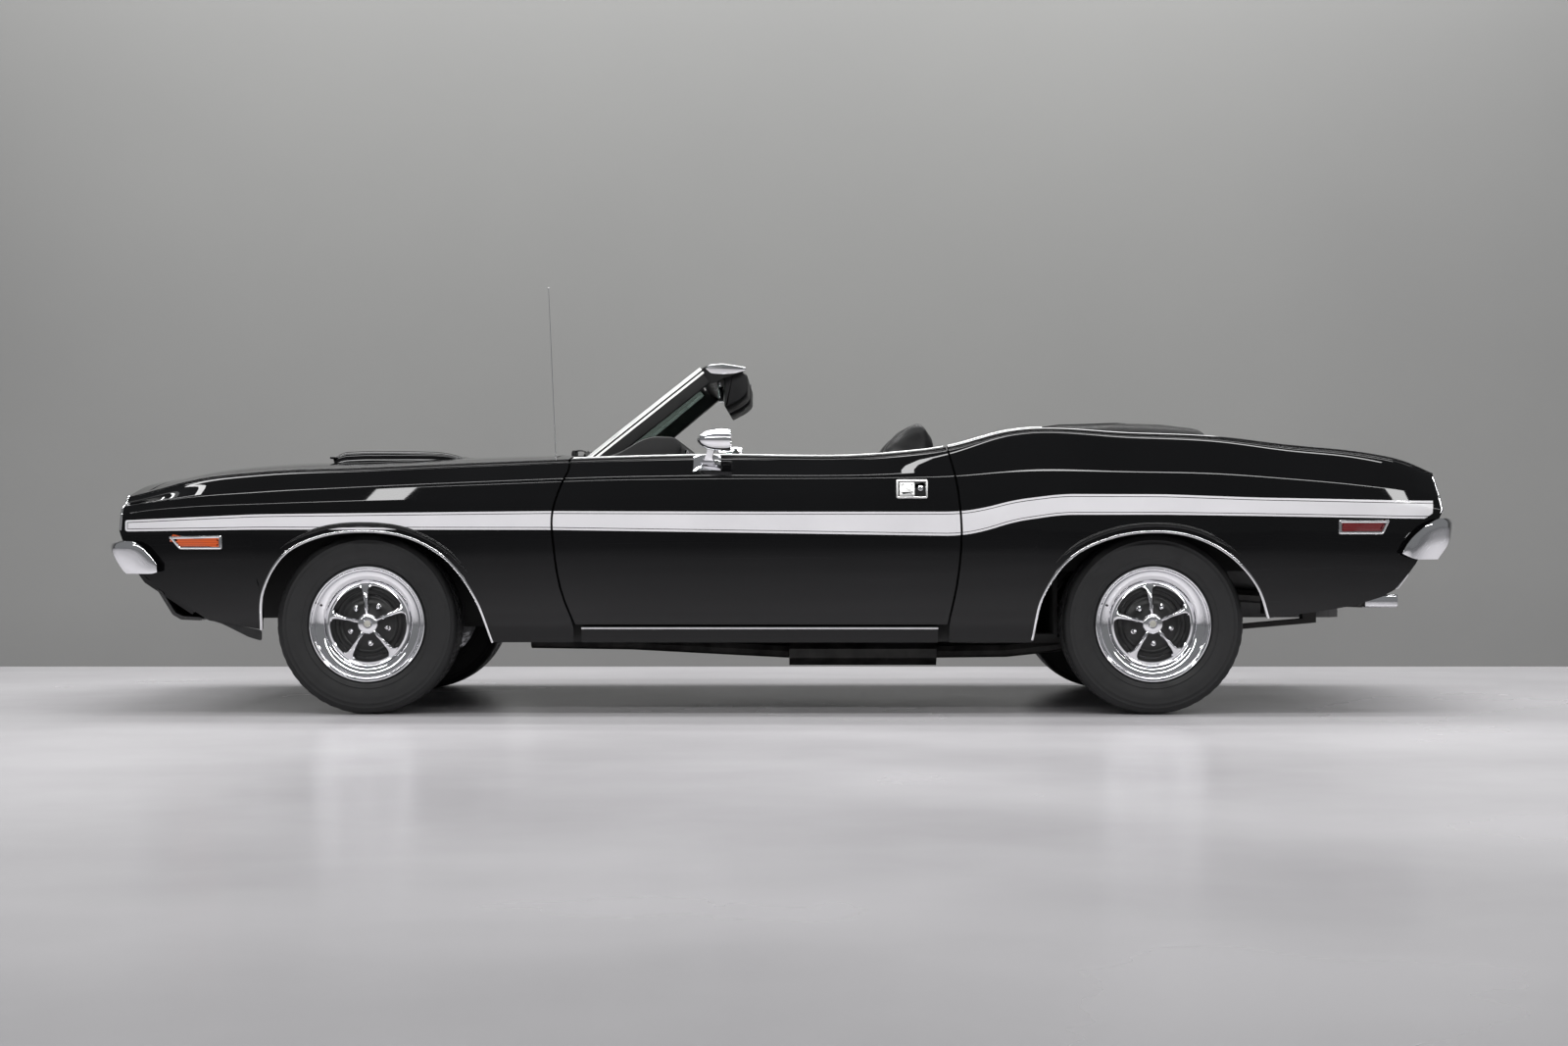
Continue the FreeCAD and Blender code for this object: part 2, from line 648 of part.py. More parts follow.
bumper_thickness = 18.0
blade_flats = 24
front_blade_line = ((-965.0, 0.0), (-958.0, 400.0), (-930.0, 760.0), (-893.0, 880.0),
                    (-820.0, 915.0), (-700.0, 928.0))
front_blade_dish = ((20.0, 616.0), (0.0, 597.0), (13.0, 555.0), (41.0, 519.0), (73.0, 501.0))
front_blade_end = ((-1100.0, 480.0), (-740.0, 500.0), (-718.0, 516.0), (-747.0, 555.0),
                   (-778.0, 590.0), (-817.0, 618.0), (-1100.0, 620.0))
rear_blade_line = ((1100.0, 0.0), (1094.0, 400.0), (1073.0, 764.0), (1047.0, 897.0),
                   (980.0, 942.0), (850.0, 956.0))
rear_blade_dish = ((5.0, 697.0), (0.0, 674.0), (8.0, 617.0), (45.0, 568.0), (60.0, 551.0))
rear_blade_end = ((1200.0, 540.0), (912.0, 550.0), (865.0, 574.0), (888.0, 616.0), (946.0, 669.0),
                  (985.0, 691.0), (1010.0, 700.0), (1200.0, 700.0))
front_bracket = ((-940.0, -700.3), (440.0, 485.0), (575.0, 600.0))
rear_bracket = ((930.0, 1080.0), (340.0, 400.0), (625.0, 665.0))


def blade(axle_x, line, dish, end_line):
    """A bumper blade: a dished band along a bowed line, cut to its end shape in the side view."""
    half_line = [V(axle_x + x, y, 0) for x, y in line]
    full_line = [V(p.x, -p.y, 0) for p in reversed(half_line[1:])] + half_line
    near = smooth_line(full_line, blade_flats)
    inward = math.copysign(1, -line[0][0])
    sections = []
    for i, point in enumerate(near):
        along = near[min(i + 1, blade_flats)] - near[max(i - 1, 0)]
        inside = V(along).normalize().cross(UP) * inward
        outside = [point + inside * (depth * abs(inside.x)) + UP * z for depth, z in dish]
        inner = [corner + inside * bumper_thickness for corner in reversed(outside)]
        sections.append(outside + inner)
    end_prism = side_prism([(axle_x + x, z) for x, z in end_line], middle(body_half_span))
    return flat_sided(sections, True).common(end_prism)


front_blade = blade(front_axle_x, front_blade_line, front_blade_dish, front_blade_end)
rear_blade = blade(rear_axle_x, rear_blade_line, rear_blade_dish, rear_blade_end)
rear_arm = rear_block(*rear_bracket).cut(tail_prism.translated(V(seat_gap, 0, 0)))
rear_arm = max(rear_arm.Solids, key=lambda solid: solid.CenterOfMass.x)
front_bumper = fuse([front_blade] + paired(front_block(*front_bracket)))
rear_bumper = fuse([rear_blade] + paired(rear_arm))
save("front_bumper", front_bumper)
save("rear_bumper", rear_bumper)

# Front face: grille of crossed bars between paired headlamps, and a valance with a chin spoiler

grille_x = (-842.0, -815.0)
grille_half = 500.0
grille_z = (606.0, 728.0)
grille_bar = 6.0
grille_rows = 6
grille_columns = 5
grille_frame = 10.0
back_plate_x = (-815.0, -803.0)
back_plate_z = (600.0, 728.0)
lamp_radius = 60.0
lamp_sides = 20
lamp_y = (585.0, 735.0)
lamp_height = 667.0
lamp_x = (-848.0, -815.3)
valance_line = ((-872.0, 490.0), (-786.0, 487.0), (-716.0, 440.0), (-612.0, 368.0),
                (-619.0, 355.0), (-724.0, 425.0), (-792.0, 470.0), (-878.0, 474.0))
chin_line = ((-748.0, 448.0), (-692.0, 354.0), (-662.0, 337.0), (-592.0, 334.0), (-588.0, 345.0),
             (-655.0, 349.0), (-682.0, 362.0), (-726.0, 436.0))

bars = []
row_pitch = (grille_z[1] - grille_z[0]) / (grille_rows - 1)
column_pitch = 2 * grille_half / (grille_columns - 1)
for row in range(grille_rows):
    z = grille_z[0] + row * row_pitch
    bars.append(front_block(grille_x, middle(grille_half), (z - grille_bar / 2, z + grille_bar / 2)))
for column in range(grille_columns):
    y = -grille_half + column * column_pitch
    bars.append(front_block(grille_x, (y - grille_bar / 2, y + grille_bar / 2), grille_z))
back_plate = front_block(back_plate_x, middle(half_width), back_plate_z).common(seat)
grille = fuse(bars + [back_plate])
save("grille", grille)

lamps = []
for y in lamp_y:
    ends = [V(front_axle_x + x, y, lamp_height) for x in lamp_x]
    lamps += paired(bar(lamp_radius, ends[1], ends[0], lamp_sides))
save("headlamps", Part.makeCompound(lamps))

valance_lines = []
for line in (valance_line, chin_line):
    valance_lines.append(side_prism([(front_axle_x + x, z) for x, z in line], middle(half_width)))
save("front_valance", fuse(valance_lines).common(seat))

# Lamps at the tail and the markers in the fenders

tail_lamp_z = (742.0, 812.0)
tail_lamp_y = (120.0, 800.0)
tail_lamp_x = (960.0, 1030.0)
tail_lamp_depth = 12.0

lamp_slab = rear_block(tail_lamp_x, tail_lamp_y, tail_lamp_z)
lens_back = tail_prism.translated(V(seat_gap, 0, 0))
lens_prism = tail_prism.translated(V(tail_lamp_depth + seat_gap, 0, 0)).cut(lens_back)
lens = lamp_slab.common(lens_prism)
save("tail_lamps", Part.makeCompound(paired(lens)))

# Wheels: five-spoke rims with a deep trim ring, and the tyres round them

wheel_sides = 32
hub_sides = 12
spoke_count = 5
spoke_lead = 5.0
spoke_root = 40.0
spoke_outer = 150.0
spoke_width = 24.0
spoke_y = (-55.0, -81.0)
spoke_shape_shares = ((0.0, 1.7), (0.45, 0.85), (0.75, 0.95), (1.0, 2.0))
barrel_rings = ((rim_radius, -104.0), (rim_radius, 90.0))
back_hollow_rings = ((196.0, -48.0), (196.0, 150.0))
dish_rings = ((143.0, -56.0), (143.0, -76.0), (202.0, -104.0), (202.0, -150.0))
hub_rings = ((46.0, 0.0), (46.0, -84.0))
cap_rings = ((28.0, -84.0), (28.0, -98.0))
bore_y = (150.0, -62.0)
spindle_radius = 30.0
tyre_side_rings = ((244.0, -98.0), (272.0, -114.0), (302.0, -112.0), (tyre_radius, -88.0))


def make_tyre():
    """A tyre about the Y axis, its bore just clear of the rim."""
    other_side = [(radius, -y) for radius, y in reversed(tyre_side_rings)]
    bore = rim_radius + seat_gap
    bore_rings = ((bore, -tyre_width), (bore, tyre_width))
    return turned(list(tyre_side_rings) + other_side, wheel_sides).cut(turned(bore_rings, wheel_sides))


def make_spoke():
    """One spoke standing up from the hub, narrow at its middle and flared at both ends."""
    outline = []
    for share, width in spoke_shape_shares:
        height = spoke_root + share * (spoke_outer - spoke_root)
        outline.append((width * spoke_width / 2, height))
    return side_prism(outline + [(-x, z) for x, z in reversed(outline)], spoke_y)


def make_rim():
    """A styled wheel: barrel with a dished trim ring, five spokes, hub and cap."""
    barrel = turned(barrel_rings, wheel_sides)
    barrel = barrel.cut([turned(back_hollow_rings, hub_sides), turned(dish_rings, wheel_sides)])
    pieces = [barrel, turned(hub_rings, hub_sides), turned(cap_rings, hub_sides)]
    for i in range(spoke_count):
        pieces.append(make_spoke().rotate(CENTRE, ACROSS, 360 * i / spoke_count + spoke_lead))
    bore = socket(spindle_radius, V(0, bore_y[0], 0), V(0, bore_y[1], 0))
    return pieces[0].fuse(pieces[1:]).cut(bore)


tyre = make_tyre()
rim = make_rim()
wheels = {
    "front_left": (front_axle_x, front_wheel_y),
    "rear_left": (rear_axle_x, rear_wheel_y),
}
for corner, (axle_x, wheel_y) in wheels.items():
    place = V(axle_x, -wheel_y, axle_height)
    for name, part_solid in (("tyre", tyre), ("rim", rim)):
        left = part_solid.translated(place)
        save(name + "_" + corner, left)
        save(name + "_" + corner.replace("left", "right"), mirrored(left))

# Front suspension: knuckles that turn on pins in the arms, and the crossmember that carries them

knuckle_y = 58.0
brake_radius = 135.0
brake_sides = 20
brake_y = (12.0, 30.0)
spindle_end = -59.0
upright_x = (-28.0, 28.0)
upright_y = (42.0, 76.0)
upright_z = (-95.0, 95.0)
steering_arm_x = (upright_x[1], 120.0)
steering_arm_z = (-60.0, -44.0)
pin_radius = 12.0
pin_length = 30.0
lower_arm_z = (-125.0, -105.0)
upper_arm_z = (105.0, 121.0)
arm_x = (-18.0, 18.0)
arm_end = 16.0
arm_reach_y = front_wheel_y - knuckle_y + arm_end
lower_arm_y = (-arm_reach_y, -400.0)
upper_arm_y = (-arm_reach_y, engine_wall_y[0] - seat_gap)
crossmember_x = (-60.0, 60.0)
crossmember_half = 455.0
crossmember_z = (199.0, 290.0)
rail_pad_y = (-455.0, -385.0)
rail_pad_z = (290.0, 329.7)

hub_centre = V(front_axle_x, -front_wheel_y, axle_height)
pin_centre = hub_centre + V(0, knuckle_y, 0)
brake = turned(((brake_radius, brake_y[0]), (brake_radius, brake_y[1])), brake_sides)
spindle = bar(spindle_radius, V(0, brake_y[0], 0), V(0, spindle_end, 0))
upright = block(upright_x, upright_y, upright_z)
carrier = block(upright_x, (brake_y[1], upright_y[0]), middle(upright_x[1]))
steering_arm = block(steering_arm_x, upright_y, steering_arm_z)
pieces = [brake, spindle, upright, carrier, steering_arm]
for z in upright_z:
    tip_z = z + math.copysign(pin_length, z)
    pieces.append(bar(pin_radius, V(0, knuckle_y, z), V(0, knuckle_y, tip_z)))
left_knuckle = fuse(pieces).translated(hub_centre)
save("knuckle_left", left_knuckle)
save("knuckle_right", mirrored(left_knuckle))


def arm(z_span, y_span):
    """A suspension arm whose end holds the knuckle's pin."""
    low = axle_height + z_span[0]
    high = axle_height + z_span[1]
    beam = front_block(arm_x, y_span, (low, high))
    bore_low = V(pin_centre.x, pin_centre.y, low)
    bore_high = V(pin_centre.x, pin_centre.y, high)
    return beam.cut(socket(pin_radius, bore_low, bore_high))


crossmember = front_block(crossmember_x, middle(crossmember_half), crossmember_z)
pads = paired(front_block(crossmember_x, rail_pad_y, rail_pad_z))
lower_arms = paired(arm(lower_arm_z, lower_arm_y))
upper_arms = paired(arm(upper_arm_z, upper_arm_y))
save("front_subframe", Part.makeCompound([fuse([crossmember] + pads + lower_arms)] + upper_arms))

# Drivetrain: engine and gearbox as one block, driveshaft, and the sprung rear axle

engine_x = (-230.0, 500.0)
engine_half = 250.0
engine_z = (crossmember_z[1] + seat_gap, 780.0)
gearbox_x = (500.0, 1100.0)
gearbox_half = 110.0
gearbox_z = (290.0, 400.0)
shaft_radius = 35.0
shaft_gap = 0.8
shaft_start_z = 335.0
diff_radius = 120.0
diff_half = 120.0
pinion_x = (-230.0, 0.0)
pinion_radius = 55.0
axle_tube_radius = 38.0
drum_radius = 132.0
drum_y = (20.0, 75.0)
spring_y = (-560.0, -500.0)
spring_line = ((-640.0, 261.7), (-330.0, 260.0), (-150.0, 272.0), (0.0, 288.0), (300.0, 304.0),
               (590.0, 330.0), (600.0, 519.7), (640.0, 519.7), (640.0, 316.0), (300.0, 286.0),
               (0.0, 268.0), (-150.0, 252.0), (-330.0, 242.0), (-640.0, 240.0))

engine = front_block(engine_x, middle(engine_half), engine_z)
gearbox = front_block(gearbox_x, middle(gearbox_half), gearbox_z)
save("engine_gearbox", fuse([engine, gearbox]))

shaft_from = V(front_axle_x + gearbox_x[1] + shaft_gap, 0, shaft_start_z)
shaft_to = V(rear_axle_x + pinion_x[0] - shaft_gap, 0, axle_height)
save("driveshaft", bar(shaft_radius, shaft_from, shaft_to))

axle_centre = V(rear_axle_x, 0, axle_height)
drum_start = rear_wheel_y - drum_y[0]
drum_end = rear_wheel_y - drum_y[1]
stub_end = rear_wheel_y - spindle_end
axle_pieces = [
    bar(diff_radius, axle_centre + V(0, -diff_half, 0), axle_centre + V(0, diff_half, 0)),
    bar(pinion_radius, axle_centre + V(pinion_x[0], 0, 0), axle_centre),
    bar(axle_tube_radius, axle_centre + V(0, -drum_end, 0), axle_centre + V(0, drum_end, 0)),
]
for side in (-1, 1):
    drum_ends = [axle_centre + V(0, side * y, 0) for y in (drum_end, drum_start, stub_end)]
    axle_pieces.append(bar(drum_radius, drum_ends[0], drum_ends[1], brake_sides))
    axle_pieces.append(bar(spindle_radius, drum_ends[1], drum_ends[2]))
axle_pieces += paired(side_prism([(rear_axle_x + x, z) for x, z in spring_line], spring_y))
save("rear_axle", fuse(axle_pieces))

# Tank, radiator and twin exhaust

tank_x = (300.0, 760.0)
tank_half = 400.0
tank_z = (330.0, 519.7)
tank_corner = 40.0
radiator_x = (-645.0, -600.3)
radiator_half = 330.0
radiator_z = (420.0, 770.0)
pipe_radius = 26.0
front_pipe_line = ((520.0, 200.0, 232.0), (900.0, 230.0, 228.0), (1500.0, 300.0, 200.0))
muffler_x = (1500.0, 2050.0)
muffler_y = (205.0, 395.0)
muffler_z = (150.0, 240.0)
muffler_corner = 28.0
hanger_x = (1750.0, 1780.0)
hanger_y = (285.0, 315.0)
hanger_z = (236.0, 261.7)
rear_pipe_line = ((-744.0, 300.0, 200.0), (-480.0, 340.0, 205.0), (-290.0, 380.0, 228.0),
                  (-60.0, 420.0, 420.0), (60.0, 430.0, 440.0), (300.0, 450.0, 420.0),
                  (560.0, 452.0, 402.0), (690.0, 480.0, 400.0), (800.0, 575.0, 398.0),
                  (868.0, 600.0, 398.0))
tip_x = (866.0, 917.0)
tip_y = (545.0, 655.0)
tip_z = (376.0, 420.0)
tip_wall = 4.0

tank = rear_block(tank_x, middle(tank_half), tank_z)
tank_edges = [e for e in tank.Edges if e.BoundBox.ZLength > tank_corner]
save("fuel_tank", tank.makeChamfer(tank_corner, tank_edges))
save("radiator", front_block(radiator_x, middle(radiator_half), radiator_z))

muffler = front_block(muffler_x, muffler_y, muffler_z)
muffler_edges = [e for e in muffler.Edges if e.BoundBox.XLength > muffler_corner]
muffler = muffler.makeChamfer(muffler_corner, muffler_edges)
front_pipe = pipe(pipe_radius, [V(front_axle_x + x, y, z) for x, y, z in front_pipe_line])
rear_pipe = pipe(pipe_radius, [V(rear_axle_x + x, y, z) for x, y, z in rear_pipe_line])
tip = rear_block(tip_x, tip_y, tip_z)
tip_bore_y = (tip_y[0] + tip_wall, tip_y[1] - tip_wall)
tip_bore_z = (tip_z[0] + tip_wall, tip_z[1] - tip_wall)
tip = tip.cut(rear_block((tip_x[0] + tip_wall, tip_x[1]), tip_bore_y, tip_bore_z))
hanger = front_block(hanger_x, hanger_y, hanger_z)
exhaust_side = fuse([muffler, front_pipe, rear_pipe, tip, hanger])
save("exhaust", Part.makeCompound(paired(exhaust_side)))

# Cabin: dashboard, column and wheel, console, seats and the boot over the folded top

dash_line = ((800.3, -164.0), (800.3, 36.0), (905.0, 76.0), (960.0, 111.0), (1010.0, 128.0),
             (1090.0, 126.0), (1118.0, 96.0), (1095.0, -4.0), (1060.0, -104.0), (990.0, -164.0))
dash_side_gap = 15.0
dash_half = cabin_half - dash_side_gap
column_tilt = 25.0
column_bracket_x = (1010.0, 1050.0)
column_bracket_y = (-404.0, -356.0)
column_bracket_z = (596.0, 765.0)
wheel_centre = (1377.0, -380.0, 779.0)
wheel_ring_radius = 182.0
wheel_grip_radius = 13.0
wheel_ring_sides = 32
grip_shares = ((0.5, -0.87), (1.0, 0.0), (0.5, 0.87))
wheel_hub_radius = 32.0
wheel_hub_depth = 36.0
wheel_spoke_width = 26.0
wheel_spoke_depth = 8.0
column_radius = 24.0
column_length = 420.0
console_x = (1200.0, 1780.0)
console_half = 105.0
console_z = (430.3, 520.0)
seat_line = ((1440.0, 330.0), (1425.0, 430.0), (1475.0, 482.0), (1778.0, 456.0), (1802.0, 620.0),
             (1825.0, 860.0), (1870.0, 1000.0), (1930.0, 1072.0), (1990.0, 1092.0),
             (2028.0, 1060.0), (2037.0, 960.0), (2000.0, 620.0), (1960.0, 330.0))
seat_y = (-620.0, -150.0)
seat_rail_x = (1500.0, 1900.0)
seat_rail_y = (-560.0, -210.0)
seat_rail_z = (276.3, 330.0)
bench_line = ((2180.0, 430.3), (2168.0, 520.0), (2205.0, 572.0), (2535.0, 558.0), (2575.0, 700.0),
              (2610.0, 925.0), (2683.7, 925.0), (2683.7, 534.3), (2463.7, 534.3), (2463.7, 430.3))
bench_side_gap = 16.0
bench_half = well_inner_y - bench_side_gap
boot_line = ((2326.0, 0.0), (2326.0, 45.7), (2370.0, 78.7), (2480.0, 92.7), (2650.0, 98.7),
             (2850.0, 94.7), (2970.0, 80.7), (3016.0, 45.7), (3016.0, 0.0))
boot_side_gap = 11.0
boot_half = deck_side_y - boot_side_gap
boot_foot = ledge_top + seat_gap
boot_crown_shares = ((-1.0, 0.45), (-0.96, 0.8), (-0.86, 1.0), (-0.4, 1.2), (0.0, 1.25),
                     (0.4, 1.2), (0.86, 1.0), (0.96, 0.8), (1.0, 0.45))
boot_notch_x = (2200.0, 2690.0)
boot_notch_gap = 4.0
boot_notch_half = well_inner_y - boot_notch_gap
boot_notch_z = (900.0, zone_top)


def front_line(line):
    return [(front_axle_x + x, z) for x, z in line]


screen_space = screen_slab(-overrun, -overrun, -overrun, -frame_depth, 2 * frame_depth + seat_gap)
dash_corners = [(x, cowl_top + z) for x, z in dash_line]
dash = side_prism(front_line(dash_corners), middle(dash_half)).cut(screen_space)
dash = fuse([dash, front_block(column_bracket_x, column_bracket_y, column_bracket_z)])
save("dashboard", dash)

tilt = math.radians(column_tilt)
column_way = V(math.cos(tilt), 0, math.sin(tilt))
wheel_place = V(front_axle_x + wheel_centre[0], wheel_centre[1], wheel_centre[2])
grip_outside = [(wheel_ring_radius + out * wheel_grip_radius, y * wheel_grip_radius)
                for out, y in grip_shares]
grip_inside = [(wheel_ring_radius - out * wheel_grip_radius, y * wheel_grip_radius)
               for out, y in grip_shares]
ring = turned(grip_outside, wheel_ring_sides).cut(turned(grip_inside, wheel_ring_sides))
ring = ring.rotate(CENTRE, ALONG, 90)
hub = bar(wheel_hub_radius, V(0, 0, -wheel_hub_depth), V(0, 0, 0))
spoke_bar = block(middle(wheel_ring_radius), middle(wheel_spoke_width / 2), middle(wheel_spoke_depth / 2))
spoke_bar = spoke_bar.translated(V(0, 0, -wheel_spoke_depth / 2))
lower_bar = block((0, wheel_ring_radius), middle(wheel_spoke_width / 2), (-wheel_spoke_depth, 0))
steering_wheel = fuse([ring, hub, spoke_bar.rotate(CENTRE, UP, 90), lower_bar])
turn_down = FreeCAD.Rotation(UP, column_way)
steering_wheel = steering_wheel.rotate(CENTRE, turn_down.Axis, math.degrees(turn_down.Angle))
steering_wheel = steering_wheel.translated(wheel_place)
save("steering_wheel", steering_wheel)

column_start = wheel_place - column_way * (wheel_hub_depth + seat_gap)
column = bar(column_radius, column_start, column_start - column_way * column_length)
save("steering_column", max(column.cut(dash).Solids, key=lambda solid: solid.CenterOfMass.x))

save("console", front_block(console_x, middle(console_half), console_z))

bucket = side_prism(front_line(seat_line), seat_y)
bucket = fuse([bucket, front_block(seat_rail_x, seat_rail_y, seat_rail_z)])
save("front_seats", Part.makeCompound(paired(bucket)))

bench = side_prism(front_line(bench_line), middle(bench_half))
save("rear_seat", bench)

boot_sections = []
for across, rise in boot_crown_shares:
    y = across * boot_half
    boot_sections.append([V(x, y, boot_foot + rise * z) for x, z in front_line(boot_line)])
boot = flat_sided(boot_sections, True).cut(front_block(boot_notch_x, middle(boot_notch_half), boot_notch_z))
save("top_boot", boot)

# Fittings on the skin: mirrors, door handles, markers and aerial

mirror_set_in = 8.5
mirror_drop = 38.0
mirror_centre = (1238.0, mirror_set_in - half_width, deck_height - mirror_drop)
mirror_length = 58.0
mirror_shares = ((-1.0, 0.12), (-0.8, 0.55), (-0.35, 0.9), (0.25, 1.0), (0.8, 0.93), (1.0, 0.85))
mirror_radius = 37.0
mirror_sides = 16
mirror_pad_z = (800.0, 1000.0)
mirror_stem_radius = 11.0
mirror_foot_set_in = 61.5
mirror_foot_drop = 130.0
mirror_pad_half = 20.0
mirror_foot = (1216.0, mirror_foot_set_in - half_width, deck_height - mirror_foot_drop)
mirror_pad_x = (1160.0, 1262.0)
mirror_pad_y = (mirror_foot[1] - mirror_pad_half, mirror_foot[1] + mirror_pad_half)
mirror_pad_rise = 7.0
handle_x = (1875.0, 1991.0)
handle_z = (772.0, 832.0)
handle_depth = 66.5
handle_y = (-body_half_span, handle_depth - half_width)
handle_rise = 9.0
front_marker_line = ((-689.0, 612.0), (-679.0, 636.0), (-503.0, 636.0), (-503.0, 585.0),
                     (-660.0, 585.0))
rear_marker_line = ((640.0, 580.0), (640.0, 632.0), (812.0, 632.0), (826.0, 606.0), (800.0, 580.0))
marker_depth = 146.5
marker_y = (-body_half_span, marker_depth - half_width)
marker_rise = 7.0
aerial_y = 760.0
aerial_foot_drop = 120.0
aerial_reach = 659.0
aerial_foot = (523.0, aerial_y, deck_height - aerial_foot_drop)
aerial_tip = (490.0, aerial_y, deck_height + aerial_reach)
aerial_radius = 3.0
aerial_base_radius = 15.0
aerial_base_height = 16.0


def skin_pad(region, rise, way):
    """What lies in a region between the skin and the skin moved out by a rise."""
    return region.common(outer.translated(way * rise)).cut(outer.translated(way * seat_gap))


pad = skin_pad(front_block(mirror_pad_x, mirror_pad_y, mirror_pad_z), mirror_pad_rise, UP)
mirror_at = V(front_axle_x + mirror_centre[0], mirror_centre[1], mirror_centre[2])
foot_at = V(front_axle_x + mirror_foot[0], mirror_foot[1], mirror_foot[2])
mirror_rings = [(out * mirror_radius, -run * mirror_length) for run, out in mirror_shares]
head = turned(mirror_rings, mirror_sides).rotate(CENTRE, UP, 90).translated(mirror_at)
stem = bar(mirror_stem_radius, foot_at, mirror_at).cut(outer.translated(V(0, 0, seat_gap)))
left_mirror = fuse([pad, head, stem])
save("mirror_left", left_mirror)
save("mirror_right", mirrored(left_mirror))

left_handle = skin_pad(front_block(handle_x, handle_y, handle_z), handle_rise, -ACROSS)
save("door_handle_left", left_handle)
save("door_handle_right", mirrored(left_handle))

markers = []
for axle_x, line in ((front_axle_x, front_marker_line), (rear_axle_x, rear_marker_line)):
    marker_prism = side_prism([(axle_x + x, z) for x, z in line], marker_y)
    markers += paired(skin_pad(marker_prism, marker_rise, -ACROSS))
save("side_markers", Part.makeCompound(markers))

aerial_low = V(front_axle_x + aerial_foot[0], aerial_foot[1], aerial_foot[2])
aerial_high = V(front_axle_x + aerial_tip[0], aerial_tip[1], aerial_tip[2])
mast = bar(aerial_radius, aerial_low, aerial_high)
base = bar(aerial_base_radius, aerial_low, aerial_low + V(0, 0, 2 * aerial_base_height))
aerial = fuse([mast, base]).cut(outer.translated(V(0, 0, seat_gap)))
save("aerial", max(aerial.Solids, key=lambda solid: solid.CenterOfMass.z))
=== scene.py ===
import bpy
import bmesh
import math
import numpy as np
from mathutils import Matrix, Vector


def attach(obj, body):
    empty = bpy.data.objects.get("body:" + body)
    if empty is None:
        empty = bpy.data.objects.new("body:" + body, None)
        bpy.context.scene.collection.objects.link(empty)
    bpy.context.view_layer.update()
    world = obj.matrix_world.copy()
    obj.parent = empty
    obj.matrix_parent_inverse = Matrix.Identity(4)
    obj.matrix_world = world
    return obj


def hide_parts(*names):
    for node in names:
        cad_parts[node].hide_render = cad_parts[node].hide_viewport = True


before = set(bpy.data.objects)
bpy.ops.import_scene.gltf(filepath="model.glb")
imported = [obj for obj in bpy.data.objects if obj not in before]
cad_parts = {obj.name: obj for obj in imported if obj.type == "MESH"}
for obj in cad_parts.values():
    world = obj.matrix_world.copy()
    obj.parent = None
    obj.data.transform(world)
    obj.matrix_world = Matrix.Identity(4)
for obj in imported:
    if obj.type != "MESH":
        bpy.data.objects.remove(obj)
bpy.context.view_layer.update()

# Viewpoint: level with the door, straight at the car's left side, from ten metres away.
# The lens matches how the two hubs and the wheelbase lie in the picture.
picture_width, lens_pixels, right_pixels, up_pixels = 1600.0, 2636.0, -13.0, 6.5


def new_object(name, data):
    """A mesh, lamp or camera, put into the scene under its name."""
    made = bpy.data.objects.new(name, data)
    bpy.context.scene.collection.objects.link(made)
    return made


car_camera = bpy.data.cameras.new("side_view")
car_camera.sensor_width = 36.0
car_camera.lens = 36.0 * lens_pixels / picture_width
car_camera.shift_x = right_pixels / picture_width
car_camera.shift_y = up_pixels / picture_width
car_camera.clip_end = 200.0
viewpoint = new_object("side_view", car_camera)
viewpoint.location = (0.0635, -10.042, 0.658)
viewpoint.rotation_euler = (math.pi / 2, 0.0, 0.0)
bpy.context.scene.camera = viewpoint
bpy.context.scene.view_settings.view_transform = "Standard"

# Studio: a pale sealed floor, a grey plaster wall behind the car and long soft lamps overhead.
# None of it is part of the car. The wall is there for the eye, mirrors and glass, and only from in front.
floor_reach, wall_y, wall_height = (20, 18), 2.35, 9
ceiling_lamp_rows, ceiling_height = (-2.6, -0.9, 0.8, 1.9), 4.5


def material(name, base, roughness, metallic=0.0, **sockets):
    """A new material, with its Principled shader's plain values set."""
    made = bpy.data.materials.new(name)
    made.use_nodes = True
    shader = made.node_tree.nodes["Principled BSDF"]
    shader.inputs["Base Color"].default_value = (*base, 1.0)
    shader.inputs["Roughness"].default_value = roughness
    shader.inputs["Metallic"].default_value = metallic
    for socket, value in sockets.items():
        shader.inputs[socket.replace("_", " ")].default_value = value
    return made


def add_node(tree, kind, values=None, **settings):
    """A shader node in a tree, with its settings and its inputs' values."""
    node = tree.nodes.new("ShaderNode" + kind)
    for key, value in settings.items():
        setattr(node, key, value)
    for key, value in (values or {}).items():
        node.inputs[key].default_value = value
    return node


def node_group(name, inputs, outputs):
    """An empty node group with named sockets, and what leads in and out of it."""
    group = bpy.data.node_groups.new(name, "ShaderNodeTree")
    for way, sockets in (("INPUT", inputs), ("OUTPUT", outputs)):
        for socket, kind in sockets:
            group.interface.new_socket(socket, in_out=way, socket_type="NodeSocket" + kind)
    return group, group.nodes.new("NodeGroupInput").outputs, group.nodes.new("NodeGroupOutput").inputs


def with_effect(made, group, outputs, values):
    """A material with a group placed in it, its outputs joined to the shader's sockets of the same name."""
    effect = add_node(made.node_tree, "Group", values, node_tree=group)
    shader = made.node_tree.nodes["Principled BSDF"]
    for output in outputs:
        made.node_tree.links.new(effect.outputs[output], shader.inputs[output])
    return made


